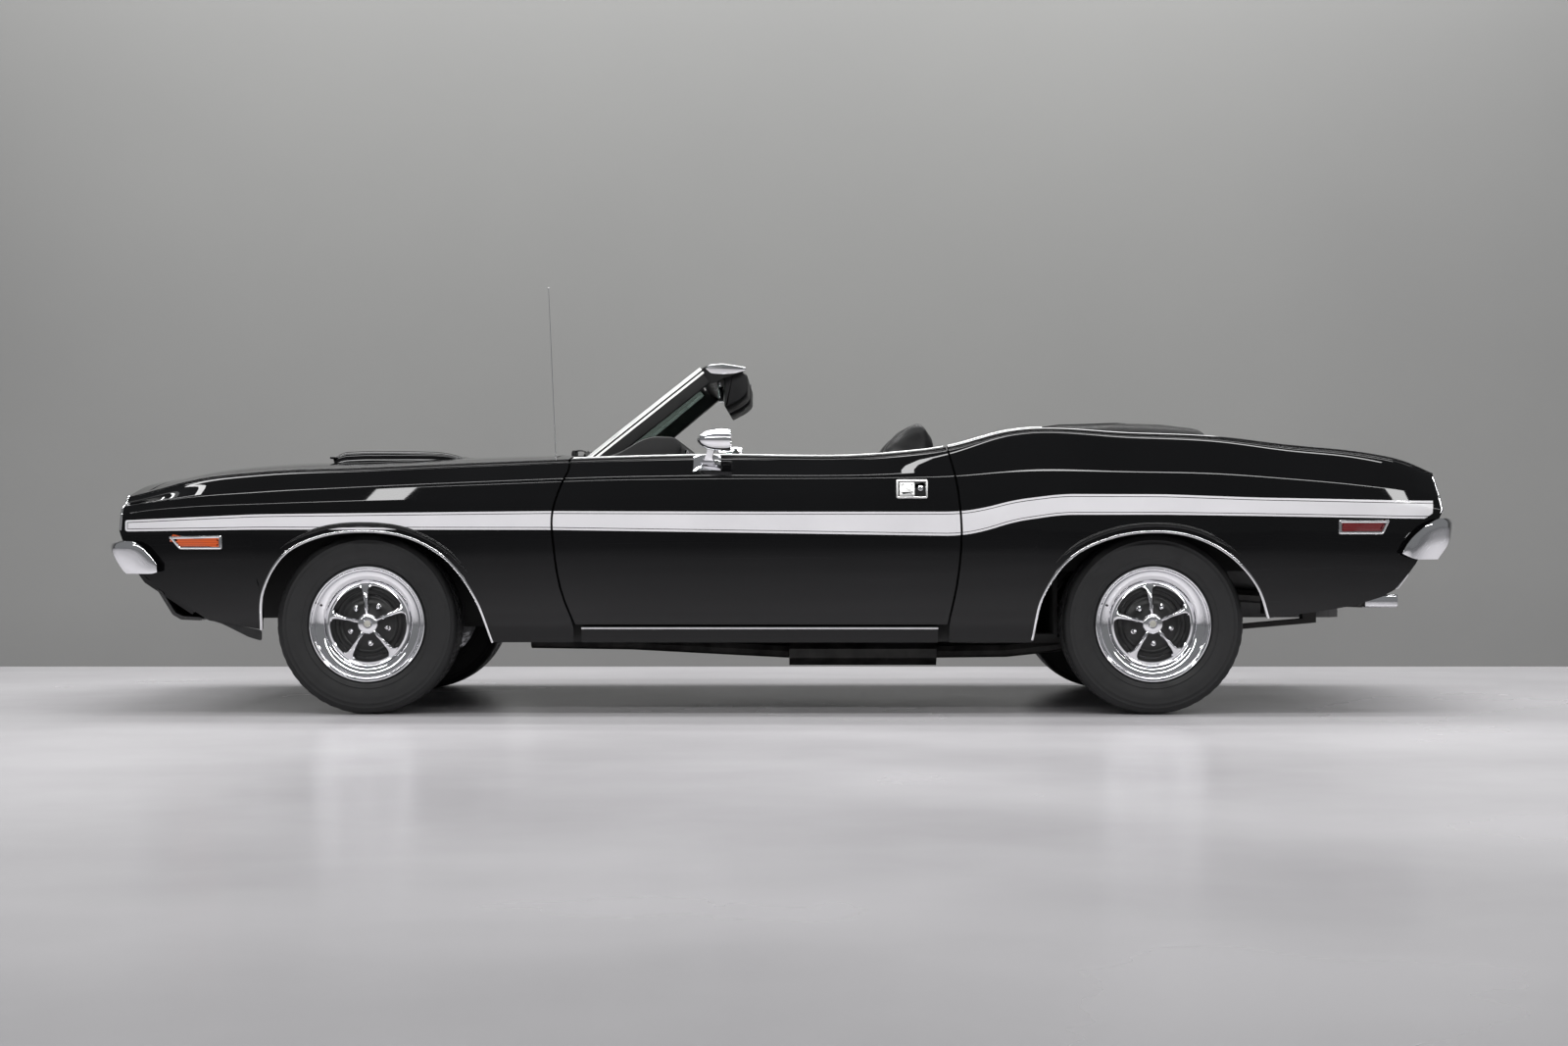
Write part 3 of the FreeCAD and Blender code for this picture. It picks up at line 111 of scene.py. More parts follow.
surface_group, given, made_here = node_group(
    "cloudy_surface",
    (("Low", "Color"), ("High", "Color"), ("Cloud Scale", "Float"), ("Rough Low", "Float"),
     ("Rough High", "Float"), ("Grain Scale", "Float"), ("Grain", "Float")),
    (("Base Color", "Color"), ("Roughness", "Float"), ("Normal", "Vector")))
spot = add_node(surface_group, "TexCoord").outputs["Object"]
cloud = add_node(surface_group, "TexNoise", {"Detail": 5.0})
grain = add_node(surface_group, "TexNoise", {"Detail": 2.0})
spread = add_node(surface_group, "MapRange", {"From Min": 0.34, "From Max": 0.66})
tone = add_node(surface_group, "Mix", data_type="RGBA")
gloss = add_node(surface_group, "Mix", data_type="FLOAT")
relief = add_node(surface_group, "Bump", {"Distance": 0.001})
for source, target in ((spot, cloud.inputs["Vector"]), (spot, grain.inputs["Vector"]),
                       (given["Cloud Scale"], cloud.inputs["Scale"]),
                       (given["Grain Scale"], grain.inputs["Scale"]),
                       (cloud.outputs["Fac"], spread.inputs["Value"]),
                       (spread.outputs["Result"], tone.inputs[0]), (spread.outputs["Result"], gloss.inputs[0]),
                       (given["Low"], tone.inputs[6]), (given["High"], tone.inputs[7]),
                       (given["Rough Low"], gloss.inputs[2]), (given["Rough High"], gloss.inputs[3]),
                       (given["Grain"], relief.inputs["Strength"]), (grain.outputs["Fac"], relief.inputs["Height"]),
                       (tone.outputs[2], made_here["Base Color"]), (gloss.outputs[0], made_here["Roughness"]),
                       (relief.outputs["Normal"], made_here["Normal"])):
    surface_group.links.new(source, target)


def mottled(name, low, high, scale, roughness, grain, metallic=0.0, grain_scale=400.0, **sockets):
    """A material whose tone and gloss drift softly over the surface, with a fine grain."""
    made = material(name, high, roughness, metallic, **sockets)
    return with_effect(made, surface_group, ("Base Color", "Roughness", "Normal"), {
        "Low": (*low, 1), "High": (*high, 1), "Cloud Scale": scale, "Rough Low": roughness * 0.82,
        "Rough High": roughness * 1.2, "Grain Scale": grain_scale, "Grain": grain})


def mesh_piece(name, points, faces, finish, smooth=True):
    """An object made from points and faces, with one finish."""
    shape = bpy.data.meshes.new(name)
    shape.from_pydata([tuple(p) for p in points], [], [tuple(f) for f in faces])
    shape.polygons.foreach_set("use_smooth", [smooth] * len(shape.polygons))
    shape.materials.append(finish)
    shape.update()
    return new_object(name, shape)


def soft_lamp(name, place, aim, size, power):
    """A long soft lamp at a place, turned towards another."""
    lamp = bpy.data.lights.new(name, "AREA")
    lamp.shape = "RECTANGLE"
    lamp.size, lamp.size_y = size
    lamp.energy = power
    made = new_object(name, lamp)
    made.location = place
    made.rotation_euler = (Vector(aim) - Vector(place)).to_track_quat("-Z", "Y").to_euler()


floor_finish = mottled("sealed_floor", (0.600, 0.585, 0.605), (0.635, 0.620, 0.640), 0.6, 0.24, 0.02,
                       Specular_IOR_Level=0.35)
x, y = floor_reach
floor = mesh_piece("studio_floor", [(-x, -y, 0), (x, -y, 0), (x, y, 0), (-x, y, 0)], [(0, 1, 2, 3)],
                   floor_finish, False)

wall_finish = mottled("plaster_wall", (0.225, 0.225, 0.220), (0.252, 0.252, 0.246), 0.5, 0.8, 0.05, 0.0, 60.0)
wall_tree = wall_finish.node_tree
rays = add_node(wall_tree, "LightPath").outputs
seen = rays["Is Camera Ray"]
for ray in ("Is Glossy Ray", "Is Transmission Ray"):
    either = add_node(wall_tree, "Math", operation="MAXIMUM")
    wall_tree.links.new(seen, either.inputs[0])
    wall_tree.links.new(rays[ray], either.inputs[1])
    seen = either.outputs[0]
ahead = add_node(wall_tree, "Math", operation="SUBTRACT", use_clamp=True)
wall_tree.links.new(seen, ahead.inputs[0])
wall_tree.links.new(add_node(wall_tree, "NewGeometry").outputs["Backfacing"], ahead.inputs[1])
wall_tree.links.new(ahead.outputs[0], wall_tree.nodes["Principled BSDF"].inputs["Alpha"])
wall = mesh_piece("studio_wall", [(-x, wall_y, 0), (x, wall_y, 0), (x, wall_y, wall_height),
                                  (-x, wall_y, wall_height)], [(0, 1, 2, 3)], wall_finish, False)

for number, y in enumerate(ceiling_lamp_rows):
    soft_lamp("ceiling_lamp_%d" % number, (0, y, ceiling_height), (0, 0.6 * y, 0), (9.0, 0.24), 124)
soft_lamp("front_lamp", (0, -6.4, 3.6), (0, 0, 0.6), (15.0, 0.24), 215)
soft_lamp("wall_lamp", (0, 0.9, 5.4), (0, 2.35, 2.0), (12.0, 0.8), 40)
room = bpy.data.worlds.new("studio_room")
room.use_nodes = True
room.node_tree.nodes["Background"].inputs["Color"].default_value = (0.42, 0.43, 0.44, 1)
room.node_tree.nodes["Background"].inputs["Strength"].default_value = 0.46
bpy.context.scene.world = room

# Painted skin: steel pressings under deep gloss black, one smooth form from nose to tail.
# Each panel below is a cut of this form, folded in at its edges and held by its own body.
# Widths are shares of the half width and heights shares of the deck's, at stations down the length.
front_axle, rear_axle = -1.4645, 1.3295
half_width, deck, sill, body_length = 0.9665, 1.010, 0.258, 4.859
station_shares = (0.006, 0.035, 0.07, 0.12, 0.20, 0.30, 0.375, 0.44, 0.58,
                  0.625, 0.665, 0.76, 0.82, 0.87, 0.93, 0.957, 0.985)
top_shares = (0.757, 0.785, 0.829, 0.856, 0.871, 0.891, 0.904, 0.912, 0.918,
              0.944, 0.996, 0.991, 0.979, 0.951, 0.922, 0.897, 0.838)
upper_crease_shares = (0.718, 0.743, 0.764, 0.776, 0.797, 0.817, 0.830, 0.834, 0.838,
                       0.842, 0.853, 0.853, 0.847, 0.832, 0.807, 0.792, 0.757)
lower_crease_shares = (0.693, 0.715, 0.728, 0.737, 0.745, 0.750, 0.760, 0.767, 0.772,
                       0.772, 0.772, 0.770, 0.764, 0.757, 0.743, 0.735, 0.713)
width_shares = (0.880, 0.911, 0.934, 0.957, 0.973, 0.980, 0.983, 0.985, 0.991,
                0.994, 0.997, 1.000, 0.997, 0.988, 0.971, 0.954, 0.931)
crown_shares = (0.074, 0.064, 0.050, 0.045, 0.042, 0.038, 0.033, 0.030, 0.030,
                0.030, 0.028, 0.026, 0.026, 0.025, 0.024, 0.022, 0.020)
skin_step, skin_overrun = 0.010, 0.2
skin_x = np.arange(-body_length / 2 - skin_overrun, body_length / 2 + skin_overrun, skin_step)


def smooth_run(t, start, end, leave, arrive):
    """Places at shares t of a smooth run between two points, with its slope at each."""
    return ((2 * t**3 - 3 * t**2 + 1) * start + (t**3 - 2 * t**2 + t) * leave
            + (3 * t**2 - 2 * t**3) * end + (t**3 - t**2) * arrive)


def eased_table(shares):
    """A station table as even, gently rounded values along the car."""
    at = np.array(station_shares) * body_length - body_length / 2
    values = np.array(shares)
    slope = np.gradient(values, at)
    cell = np.clip(np.searchsorted(at, skin_x) - 1, 0, len(at) - 2)
    width = at[cell + 1] - at[cell]
    t = np.clip((skin_x - at[cell]) / width, 0, 1)
    eased = smooth_run(t, values[cell], values[cell + 1], width * slope[cell], width * slope[cell + 1])
    blur = np.exp(-0.5 * (np.arange(-9, 10) / 3.0) ** 2)
    padded = np.concatenate((2 * eased[0] - eased[9:0:-1], eased, 2 * eased[-1] - eased[-2:-11:-1]))
    return np.convolve(padded, blur / blur.sum(), "valid")


skin_tables = [eased_table(shares) for shares in
               (width_shares, top_shares, upper_crease_shares, lower_crease_shares, crown_shares)]


def skin_knots(x):
    """The section's guide points at places x along the car: arrays of (knot, y and z)."""
    half, top, upper, lower, crown = (np.interp(x, skin_x, table) for table in skin_tables)
    half = half * half_width
    top, upper, lower, crown = top * deck, upper * deck, lower * deck, crown * deck
    edge = half - 0.098
    y = [half - 0.060, half - 0.0222, half - 0.0048, half, half - 0.013, half - 0.050,
         half - 0.0676, edge, 0.60 * edge, 0 * edge]
    z = [0 * x + sill, sill + 0.255 * (lower - sill), sill + 0.585 * (lower - sill), lower, upper,
         top - 0.028, top - 0.009, top, top + 0.64 * crown, top + crown]
    return np.array(y), np.array(z)


def skin_at(x, v):
    """Points of the right-hand skin at places x and section numbers v from the sill up."""
    x, v = np.broadcast_arrays(np.asarray(x, float), np.asarray(v, float))
    knots = np.stack(skin_knots(x))
    chord = knots[:, 1:] - knots[:, :-1]
    slopes = np.empty_like(knots)
    slopes[:, 1:-1] = (knots[:, 2:] - knots[:, :-2]) / 2
    slopes[:, 0], slopes[:, -1] = chord[:, 0], chord[:, -1]
    slopes[1, -1] = 0
    leave, arrive = slopes[:, :-1].copy(), slopes[:, 1:].copy()
    for crease in (3, 4):
        arrive[:, crease - 1] = chord[:, crease - 1]
        leave[:, crease] = chord[:, crease]
    cell = np.clip(np.floor(v).astype(int), 0, chord.shape[1] - 1)
    start, end, leave, arrive = (
        np.stack([np.take_along_axis(part, cell[None], 0)[0] for part in table])
        for table in (knots[:, :-1], knots[:, 1:], leave, arrive))
    across, up = smooth_run(v - cell, start, end, leave, arrive)
    return np.stack((x, across, up), -1)


section_numbers = np.linspace(0, 9, 361)
side_numbers, top_numbers = section_numbers[section_numbers <= 7.0], section_numbers[section_numbers >= 4.0]


def number_at_height(x, z):
    """The section number on the side at a height."""
    heights = skin_at(np.ravel(x)[:, None], side_numbers[None, :])[..., 2]
    wanted = np.broadcast_to(z, np.shape(x)).ravel()
    return np.array([np.interp(w, h, side_numbers) for w, h in zip(wanted, heights)]).reshape(np.shape(x))


def number_at_side(x, y):
    """The section number on the top at a distance from the centre plane."""
    spans = skin_at(np.ravel(x)[:, None], top_numbers[None, :])[..., 1]
    wanted = np.broadcast_to(y, np.shape(x)).ravel()
    return np.array([np.interp(-w, -s, top_numbers) for w, s in zip(wanted, spans)]).reshape(np.shape(x))


def at_height(line):
    """A side-view line of (place, height) as a function of height."""
    line = sorted(line, key=lambda corner: corner[1])
    return lambda z: np.interp(z, [c[1] for c in line], [c[0] for c in line])


def shifted(line, axle):
    """A side-view line measured from an axle, as places along the car."""
    return [(axle + x, z) for x, z in line]


def run_lengths(corners):
    """How far each corner lies along a line."""
    return np.concatenate(([0], np.cumsum(np.linalg.norm(np.diff(corners, axis=0), axis=1))))


def rounded_line(corners, count):
    """A smooth line through corners, at even shares of its length."""
    corners = np.array(corners, float)
    run = run_lengths(corners)
    slope = np.gradient(corners, run, axis=0)
    at = np.linspace(0, run[-1], count)
    cell = np.clip(np.searchsorted(run, at, "right") - 1, 0, len(run) - 2)
    width = (run[cell + 1] - run[cell])[:, None]
    t = ((at - run[cell])[:, None]) / width
    return smooth_run(t, corners[cell], corners[cell + 1], width * slope[cell], width * slope[cell + 1])


front_arch = np.array(shifted(rounded_line(
    [(-0.371, 0.303), (-0.358, 0.440), (-0.278, 0.572), (-0.150, 0.634), (0.0, 0.651), (0.150, 0.632),
     (0.290, 0.555), (0.388, 0.425), (0.449, 0.258)], 60), front_axle))
rear_arch = np.array(shifted(rounded_line(
    [(-0.433, 0.267), (-0.400, 0.420), (-0.305, 0.555), (-0.155, 0.630), (-0.018, 0.650), (0.130, 0.632),
     (0.272, 0.555), (0.360, 0.450), (0.398, 0.345)], 60), rear_axle))
door_front = at_height(shifted(rounded_line(
    [(0.727, 0.870), (0.692, 0.790), (0.671, 0.715), (0.676, 0.590), (0.704, 0.430), (0.746, 0.322)], 40),
    front_axle))
door_rear = at_height(shifted(rounded_line(
    [(2.059, 0.322), (2.091, 0.480), (2.104, 0.655), (2.087, 0.820), (2.054, 0.963), (2.040, 1.100)], 40),
    front_axle))
door_gap, panel_depth = 0.008, 0.014


def crease_rows(low, high):
    """Section numbers from low to high, with close rows beside the two creases."""
    rows = []
    for start, end, shares in ((0, 3, (0, .06, .14, .24, .36, .48, .6, .71, .81, .88, .93, .962)),
                               (3, 4, (0, .15, .35, .55, .75, .88)),
                               (4, 7, (0, .05, .11, .19, .29, .4, .52, .64, .76, .88)),
                               (7, 9, (0, .12, .25, .4, .55, .7, .85))):
        bottom, top = np.clip(start, low, high), np.clip(end, low, high)
        rows += [bottom + share * (top - bottom) for share in shares]
    return np.stack(rows + [high + 0 * low], -1)


def side_grid(start, end, foot, inner_side):
    """Points of a side panel between its end lines, up from its foot to its inner edge."""
    foot = np.array(foot, float)
    side_x, side_y = np.array(inner_side).T
    share = ((foot[:, 0] - foot[0, 0]) / (foot[-1, 0] - foot[0, 0]))[:, None]
    near, far = (1 - share) ** 6, share**6
    fixed = foot[:, :1] - near * start(foot[:, 1:]) - far * end(foot[:, 1:])
    low = number_at_height(foot[:, 0], foot[:, 1])
    x = np.repeat(foot[:, :1], 36, 1)
    for _ in range(8):
        high = number_at_side(x[:, -1], np.interp(x[:, -1], side_x, side_y))
        rows = crease_rows(low, high)
        z = skin_at(x, rows)[..., 2]
        x = fixed + near * start(z) + far * end(z)
    return skin_at(x, rows)


def foot_line(corners, count):
    """Even places along straight runs between foot corners."""
    corners = np.array(corners, float)
    run = run_lengths(corners)
    at = np.union1d(np.linspace(0, run[-1], count), run)
    return [(np.interp(a, run, corners[:, 0]), np.interp(a, run, corners[:, 1])) for a in at]


def grid_normals(grid):
    """Unit normals of a grid of points."""
    normal = np.cross(np.gradient(grid, axis=0), np.gradient(grid, axis=1))
    return normal / np.maximum(np.linalg.norm(normal, axis=-1, keepdims=True), 1e-12)


def folded_panel(name, grid, depth, finish, flat_inside=None):
    """A closed panel from a grid of outer points, moved in by its depth or to a flat inside."""
    columns, rows = grid.shape[:2]
    normal = grid_normals(grid)
    outward = np.sign((normal * (grid - grid.mean((0, 1)) * (1, 0, 1)))[..., 1:].sum())
    inside = grid - normal * outward * depth
    if flat_inside is not None:
        inside = grid.copy()
        inside[..., 1] = flat_inside
    points = np.concatenate((grid.reshape(-1, 3), inside.reshape(-1, 3)))
    shift = columns * rows
    faces, sharp = [], set()
    for i in range(columns - 1):
        for k in range(rows - 1):
            a, b, c, d = i * rows + k, (i + 1) * rows + k, (i + 1) * rows + k + 1, i * rows + k + 1
            faces += [(a, b, c, d), (a + shift, d + shift, c + shift, b + shift)]
    rim = ([i * rows for i in range(columns)]
           + [(columns - 1) * rows + k for k in range(1, rows)]
           + [i * rows + rows - 1 for i in range(columns - 2, -1, -1)]
           + [k for k in range(rows - 2, 0, -1)])
    for a, b in zip(rim, rim[1:] + rim[:1]):
        faces.append((b, a, a + shift, b + shift))
        sharp |= {frozenset((a, b)), frozenset((a + shift, b + shift))}
    made = mesh_piece(name, points, faces, finish)
    work = bmesh.new()
    work.from_mesh(made.data)
    bmesh.ops.recalc_face_normals(work, faces=work.faces)
    for edge in work.edges:
        if frozenset(v.index for v in edge.verts) in sharp:
            edge.smooth = False
    bmesh.ops.remove_doubles(work, verts=work.verts, dist=1e-5)
    work.to_mesh(made.data)
    work.free()
    return made


gloss_black = mottled("gloss_black_paint", (0.0022, 0.0022, 0.0025), (0.0034, 0.0034, 0.0038), 2.0, 0.30, 0.010,
                      0.0, 160.0, Specular_IOR_Level=0.0, Coat_Weight=1.0, Coat_Roughness=0.02, Coat_IOR=1.40)

# Front fenders: long steel pressings bolted to the inner aprons, open at the nose and over the wheels.
# The pair mirror each other, as all pieces here do that come in a left and a right.
sides = ((-1, "left"), (1, "right"))
on_chassis, on_doors = ("chassis", "chassis"), ("door_left_body", "door_right_body")
fender_front_foot = shifted(((-0.714, 0.438), (-0.558, 0.335), (-0.3715, 0.303)), front_axle)
fender_rear_foot = [(front_arch[-1][0] + 0.001, sill), (float(door_front(sill)) - door_gap, sill)]
fender_foot = foot_line(fender_front_foot, 26) + [tuple(p) for p in front_arch] + foot_line(fender_rear_foot, 18)
fender_nose = at_height(shifted(((-0.714, 0.438), (-0.782, 0.487), (-0.880, 0.640), (-0.868, 0.769),
                                 (-0.868, 1.1)), front_axle))
fender_inner = shifted(((-1.0, 0.7865), (-0.7990, 0.7865), (-0.7985, 0.6965), (0.7250, 0.6965),
                        (0.7255, 0.8345), (0.80, 0.8345)), front_axle)
fender_grid = side_grid(fender_nose, lambda z: door_front(z) - door_gap, fender_foot, fender_inner)


def fitted(piece, body="chassis", stands_for=None):
    """A piece attached to the body that carries it, and the solid it stands for hidden."""
    if stands_for:
        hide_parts(stands_for)
    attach(piece, body)
    return piece


def both_panels(name, grid, depth, finish, bodies=on_chassis, stands_for=None, flat_inside=None):
    """A painted panel from points of the right-hand side, and its mirror on the left."""
    for (side, tag), body in zip(sides, bodies):
        inside = None if flat_inside is None else side * flat_inside
        made = folded_panel(name + "_" + tag, grid * (1, side, 1), depth, finish, inside)
        fitted(made, body, stands_for and stands_for + tag)


both_panels("front_fender_skin", fender_grid, panel_depth, gloss_black, stands_for="front_fender_")

# Doors: a wide steel pressing each, flat inside, hung on two hinges hidden in the front pillar.
# Their gaps follow the curved seams that the fenders and quarter panels are cut to as well.
door_inner_y = 0.835
door_foot = foot_line(shifted(((0.746, 0.322), (2.059, 0.322)), front_axle), 90)
door_grid = side_grid(door_front, door_rear, door_foot, [(-3.0, door_inner_y), (3.0, door_inner_y)])
both_panels("door_skin", door_grid, panel_depth, gloss_black, on_doors, "door_", door_inner_y)

# Quarter panels: one steel pressing each from the door to the tail, rising to the deck in a kick-up.
# They are welded to the shell and cut out over the rear wheels.
quarter_front_foot = [(float(door_rear(sill)) + door_gap, sill), (rear_arch[0][0] - 0.001, sill)]
quarter_rear_foot = shifted(((0.3985, 0.345), (0.563, 0.366), (0.701, 0.389), (0.799, 0.419), (0.847, 0.445)),
                            rear_axle)
quarter_foot = foot_line(quarter_front_foot, 22) + [tuple(p) for p in rear_arch] + foot_line(quarter_rear_foot, 30)
quarter_tail = at_height(shifted(((0.847, 0.445), (0.916, 0.525), (1.021, 0.724), (1.000, 0.846),
                                  (0.990, 1.1)), rear_axle))
quarter_inner = shifted(((-0.80, 0.800), (0.262, 0.775), (0.2625, 0.655), (1.1, 0.655)), rear_axle)
quarter_grid = side_grid(lambda z: door_rear(z) + door_gap, quarter_tail, quarter_foot, quarter_inner)
both_panels("quarter_skin", quarter_grid, panel_depth, gloss_black, stands_for="quarter_panel_")

# Hood, nose, trunk lid and cowl: the crowned steel panels on top, each in its own gap.
# The hood is hinged at the cowl and the trunk lid behind the cabin.
top_panels = (
    ("hood_skin", "hood", "hood_body", (-0.796, 0.655), 0.690, front_axle, 90),
    ("nose_skin", "nose_panel", "chassis", (-0.868, -0.8025), 0.780, front_axle, 8),
    ("trunk_skin", "trunk_lid", "trunk_lid_body", (0.270, 0.978), 0.6485, rear_axle, 50),
    ("cowl_skin", "cowl_panel", "chassis", (0.664, 0.740), 0.690, front_axle, 8),
)


def top_grid(start, end, half, columns, rows=30):
    """Points of a top panel, the full width between two places along the car."""
    x = np.linspace(start, end, columns)[:, None]
    y = np.linspace(half, 0, rows)[None, :]
    x, y = np.broadcast_arrays(x, y)
    right = skin_at(x, np.stack([number_at_side(x[:, k], y[:, k]) for k in range(rows)], 1))
    right[..., 1] = y
    return np.concatenate((right, right[:, -2::-1] * (1, -1, 1)), 1)


for name, node, body, (start, end), half, axle, columns in top_panels:
    panel = folded_panel(name, top_grid(axle + start, axle + end, half, columns), panel_depth, gloss_black)
    fitted(panel, body, node)

# Rockers: the painted sills that run under the doors from fender to quarter panel, part of the shell.
# A thin folded skin lies over each.
rocker_span, rocker_heights = (front_axle + 0.7665, front_axle + 2.0275), (0.2585, 0.3135)


def band_grid(start, end, low, high, columns, rows=4):
    """Points of a band on the side skin between two end lines and two height lines."""
    share = np.linspace(0, 1, columns)[:, None]
    rise = np.linspace(0, 1, rows)[None, :]
    z = low(start(0.6)) + 0 * share * rise
    for _ in range(4):
        x = start(z) + share * (end(z) - start(z))
        z = low(x) + rise * (high(x) - low(x))
    return skin_at(x, number_at_height(x, z))


def lifted(grid, lift):
    """A grid of the right-hand skin moved outward."""
    normal = grid_normals(grid)
    return grid + normal * np.sign(normal[..., 1:2]) * lift


def same(value):
    """A line that keeps one value all along."""
    return lambda z: value + 0 * z


rocker_grid = band_grid(*map(same, rocker_span), *map(same, rocker_heights), 40, 6)
both_panels("rocker_skin", lifted(rocker_grid, 0.0025), 0.002, gloss_black)

# Side stripe: white tape laid in one broad and two narrow bands, cut at every panel gap.
# A pin line of bare paint runs just inside its edge and round its front end.
stripe_x = front_axle + np.array((-0.857, -0.379, 0.652, 1.445, 2.097, 2.183, 2.294, 2.459, 2.821, 3.139, 3.70))
stripe_top = (0.690, 0.711, 0.7225, 0.720, 0.720, 0.732, 0.7615, 0.782, 0.781, 0.770, 0.759)
stripe_foot = (0.6505, 0.6575, 0.6565, 0.645, 0.635, 0.650, 0.685, 0.7095, 0.7097, 0.7055, 0.696)
stripe_border, stripe_pin, stripe_corner, corner_ease = 0.0072, 0.0024, 0.009, 0.045
tape_lift, tape_depth = 0.0007, 0.0005
white_tape = mottled("white_tape", (0.78, 0.77, 0.79), (0.84, 0.83, 0.85), 3.0, 0.34, 0.05, 0.0, 900.0,
                     Coat_Weight=0.5, Coat_Roughness=0.08)


def stripe_edge(x, values):
    """An edge of the stripe along the car, with the corners of its table rounded off."""
    spread = np.linspace(-corner_ease, corner_ease, 9)
    return np.mean([np.interp(x + shift, stripe_x, values) for shift in spread], axis=0)


def corner_cut(x):
    """How much the stripe's round front corners take off its edges."""
    inside = np.clip(stripe_x[0] + stripe_corner - x, 0, stripe_corner)
    return stripe_corner - np.sqrt(stripe_corner**2 - inside**2)


def stripe_high(x):
    return stripe_edge(x, stripe_top) - corner_cut(x)


def stripe_low(x):
    return stripe_edge(x, stripe_foot) + corner_cut(x)


def stripe_tail(z):
    """The slanted rear end of the stripe."""
    return front_axle + np.interp(z, (0.690, 0.7135, 0.7466), (3.737, 3.776, 3.779))


stripe_runs = (
    ("fender", same(stripe_x[0] + stripe_border), lambda z: door_front(z) - door_gap, 90, on_chassis),
    ("door", door_front, door_rear, 60, on_doors),
    ("quarter", lambda z: door_rear(z) + door_gap, stripe_tail, 120, on_chassis),
)
inside_edge = stripe_border + stripe_pin
for part, start, end, columns, bodies in stripe_runs:
    inset = (lambda z, at=start: at(z) + stripe_pin) if part == "fender" else start
    bands = (("top", start, lambda x: stripe_high(x) - stripe_border, stripe_high, 3),
             ("broad", inset, lambda x: stripe_edge(x, stripe_foot) + inside_edge,
              lambda x: stripe_edge(x, stripe_top) - inside_edge, 6),
             ("foot", start, stripe_low, lambda x: stripe_low(x) + stripe_border, 3))
    for band, band_start, low, high, rows in bands:
        grid = lifted(band_grid(band_start, end, low, high, columns, rows), tape_lift)
        both_panels("stripe_" + band + "_" + part, grid, tape_depth, white_tape, bodies)
nose_band = band_grid(same(stripe_x[0] + 0.0004), same(stripe_x[0] + stripe_border), stripe_low, stripe_high, 10, 8)
both_panels("stripe_front_end", lifted(nose_band, tape_lift), tape_depth, white_tape)

# Bright mouldings: stainless strips folded round the wheel openings, along the belt and over the rockers.
# Each clips to the edge of its panel, and a soft bead is pressed into the panel above each opening.
bright_steel = mottled("bright_steel", (0.72, 0.72, 0.73), (0.78, 0.78, 0.79), 22.0, 0.10, 0.02, 1.0)
satin_steel = mottled("satin_steel", (0.80, 0.80, 0.79), (0.86, 0.86, 0.85), 22.0, 0.36, 0.02, 1.0)
crease_angle = 0.6
lip_profile = ((-0.0045, -0.010), (-0.0045, 0.0022), (-0.0025, 0.0042), (0.001, 0.0048), (0.0042, 0.0035),
               (0.0052, 0.0008), (0.0030, 0.0005), (-0.0020, -0.0005), (-0.0030, -0.010))
bead_profile = ((-0.009, -0.001), (-0.006, 0.0028), (-0.002, 0.0045), (0.003, 0.0042), (0.008, 0.0018),
                (0.010, -0.001))
belt_profile = ((-0.005, -0.002), (-0.005, 0.0018), (-0.0026, 0.0038), (0.0026, 0.0038), (0.005, 0.0018),
                (0.005, -0.002))
sill_profile = ((-0.004, -0.001), (-0.004, 0.002), (-0.0015, 0.0035), (0.0015, 0.0035), (0.004, 0.002),
                (0.004, -0.001))
bead_offset, belt_side, sill_trim_height = 0.024, 0.8445, 0.3095


def loft(name, sections, finish, closed=False, smooth=True):
    """A closed piece through matching closed sections, capped at its ends or joined in a ring."""
    sections = np.asarray(sections, float)
    count, corners = sections.shape[:2]
    faces = []
    for i in range(count if closed else count - 1):
        k = (i + 1) % count
        for j in range(corners):
            m = (j + 1) % corners
            faces.append((i * corners + j, i * corners + m, k * corners + m, k * corners + j))
    if not closed:
        faces.append(tuple(range(corners - 1, -1, -1)))
        faces.append(tuple((count - 1) * corners + j for j in range(corners)))
    made = mesh_piece(name, sections.reshape(-1, 3), faces, finish, smooth)
    work = bmesh.new()
    work.from_mesh(made.data)
    bmesh.ops.recalc_face_normals(work, faces=work.faces)
    for edge in work.edges:
        if len(edge.link_faces) == 2 and edge.calc_face_angle(0) > crease_angle:
            edge.smooth = False
    work.to_mesh(made.data)
    work.free()
    return made


def swept_sections(path, normals, profile):
    """Copies of a profile (across, out) along a path, out being along the given normals."""
    tangent = np.gradient(path, axis=0)
    tangent /= np.linalg.norm(tangent, axis=1, keepdims=True)
    normals = normals - (normals * tangent).sum(1, keepdims=True) * tangent
    normals /= np.linalg.norm(normals, axis=1, keepdims=True)
    across = np.cross(tangent, normals)
    return np.array([[p + a * u + b * n for a, b in profile] for p, u, n in zip(path, across, normals)])


def skin_normals(x, v):
    """Outward normals of the right-hand skin."""
    along = skin_at(x + 0.002, v) - skin_at(x - 0.002, v)
    up = skin_at(x, v + 0.01) - skin_at(x, v - 0.01)
    normal = np.cross(along, up)
    normal /= np.linalg.norm(normal, axis=-1, keepdims=True)
    return normal * np.where((normal[..., 1:2] + normal[..., 2:3]) < 0, -1, 1)


def both_lofts(name, sections, finish, bodies=on_chassis, closed=False, smooth=True):
    """A lofted piece of the right-hand side and its mirror: the left one, then the right one."""
    return [fitted(loft(name + "_" + tag, np.asarray(sections) * (1, side, 1), finish, closed, smooth), body)
            for (side, tag), body in zip(sides, bodies)]


def trim(name, x, v, profile, finish, bodies=on_chassis, raised=(0, 0, 0)):
    """A bright strip along the skin at places x and section numbers v, on both sides."""
    path = skin_at(x, v) + raised
    both_lofts(name, swept_sections(path, skin_normals(x, v), profile), finish, bodies)


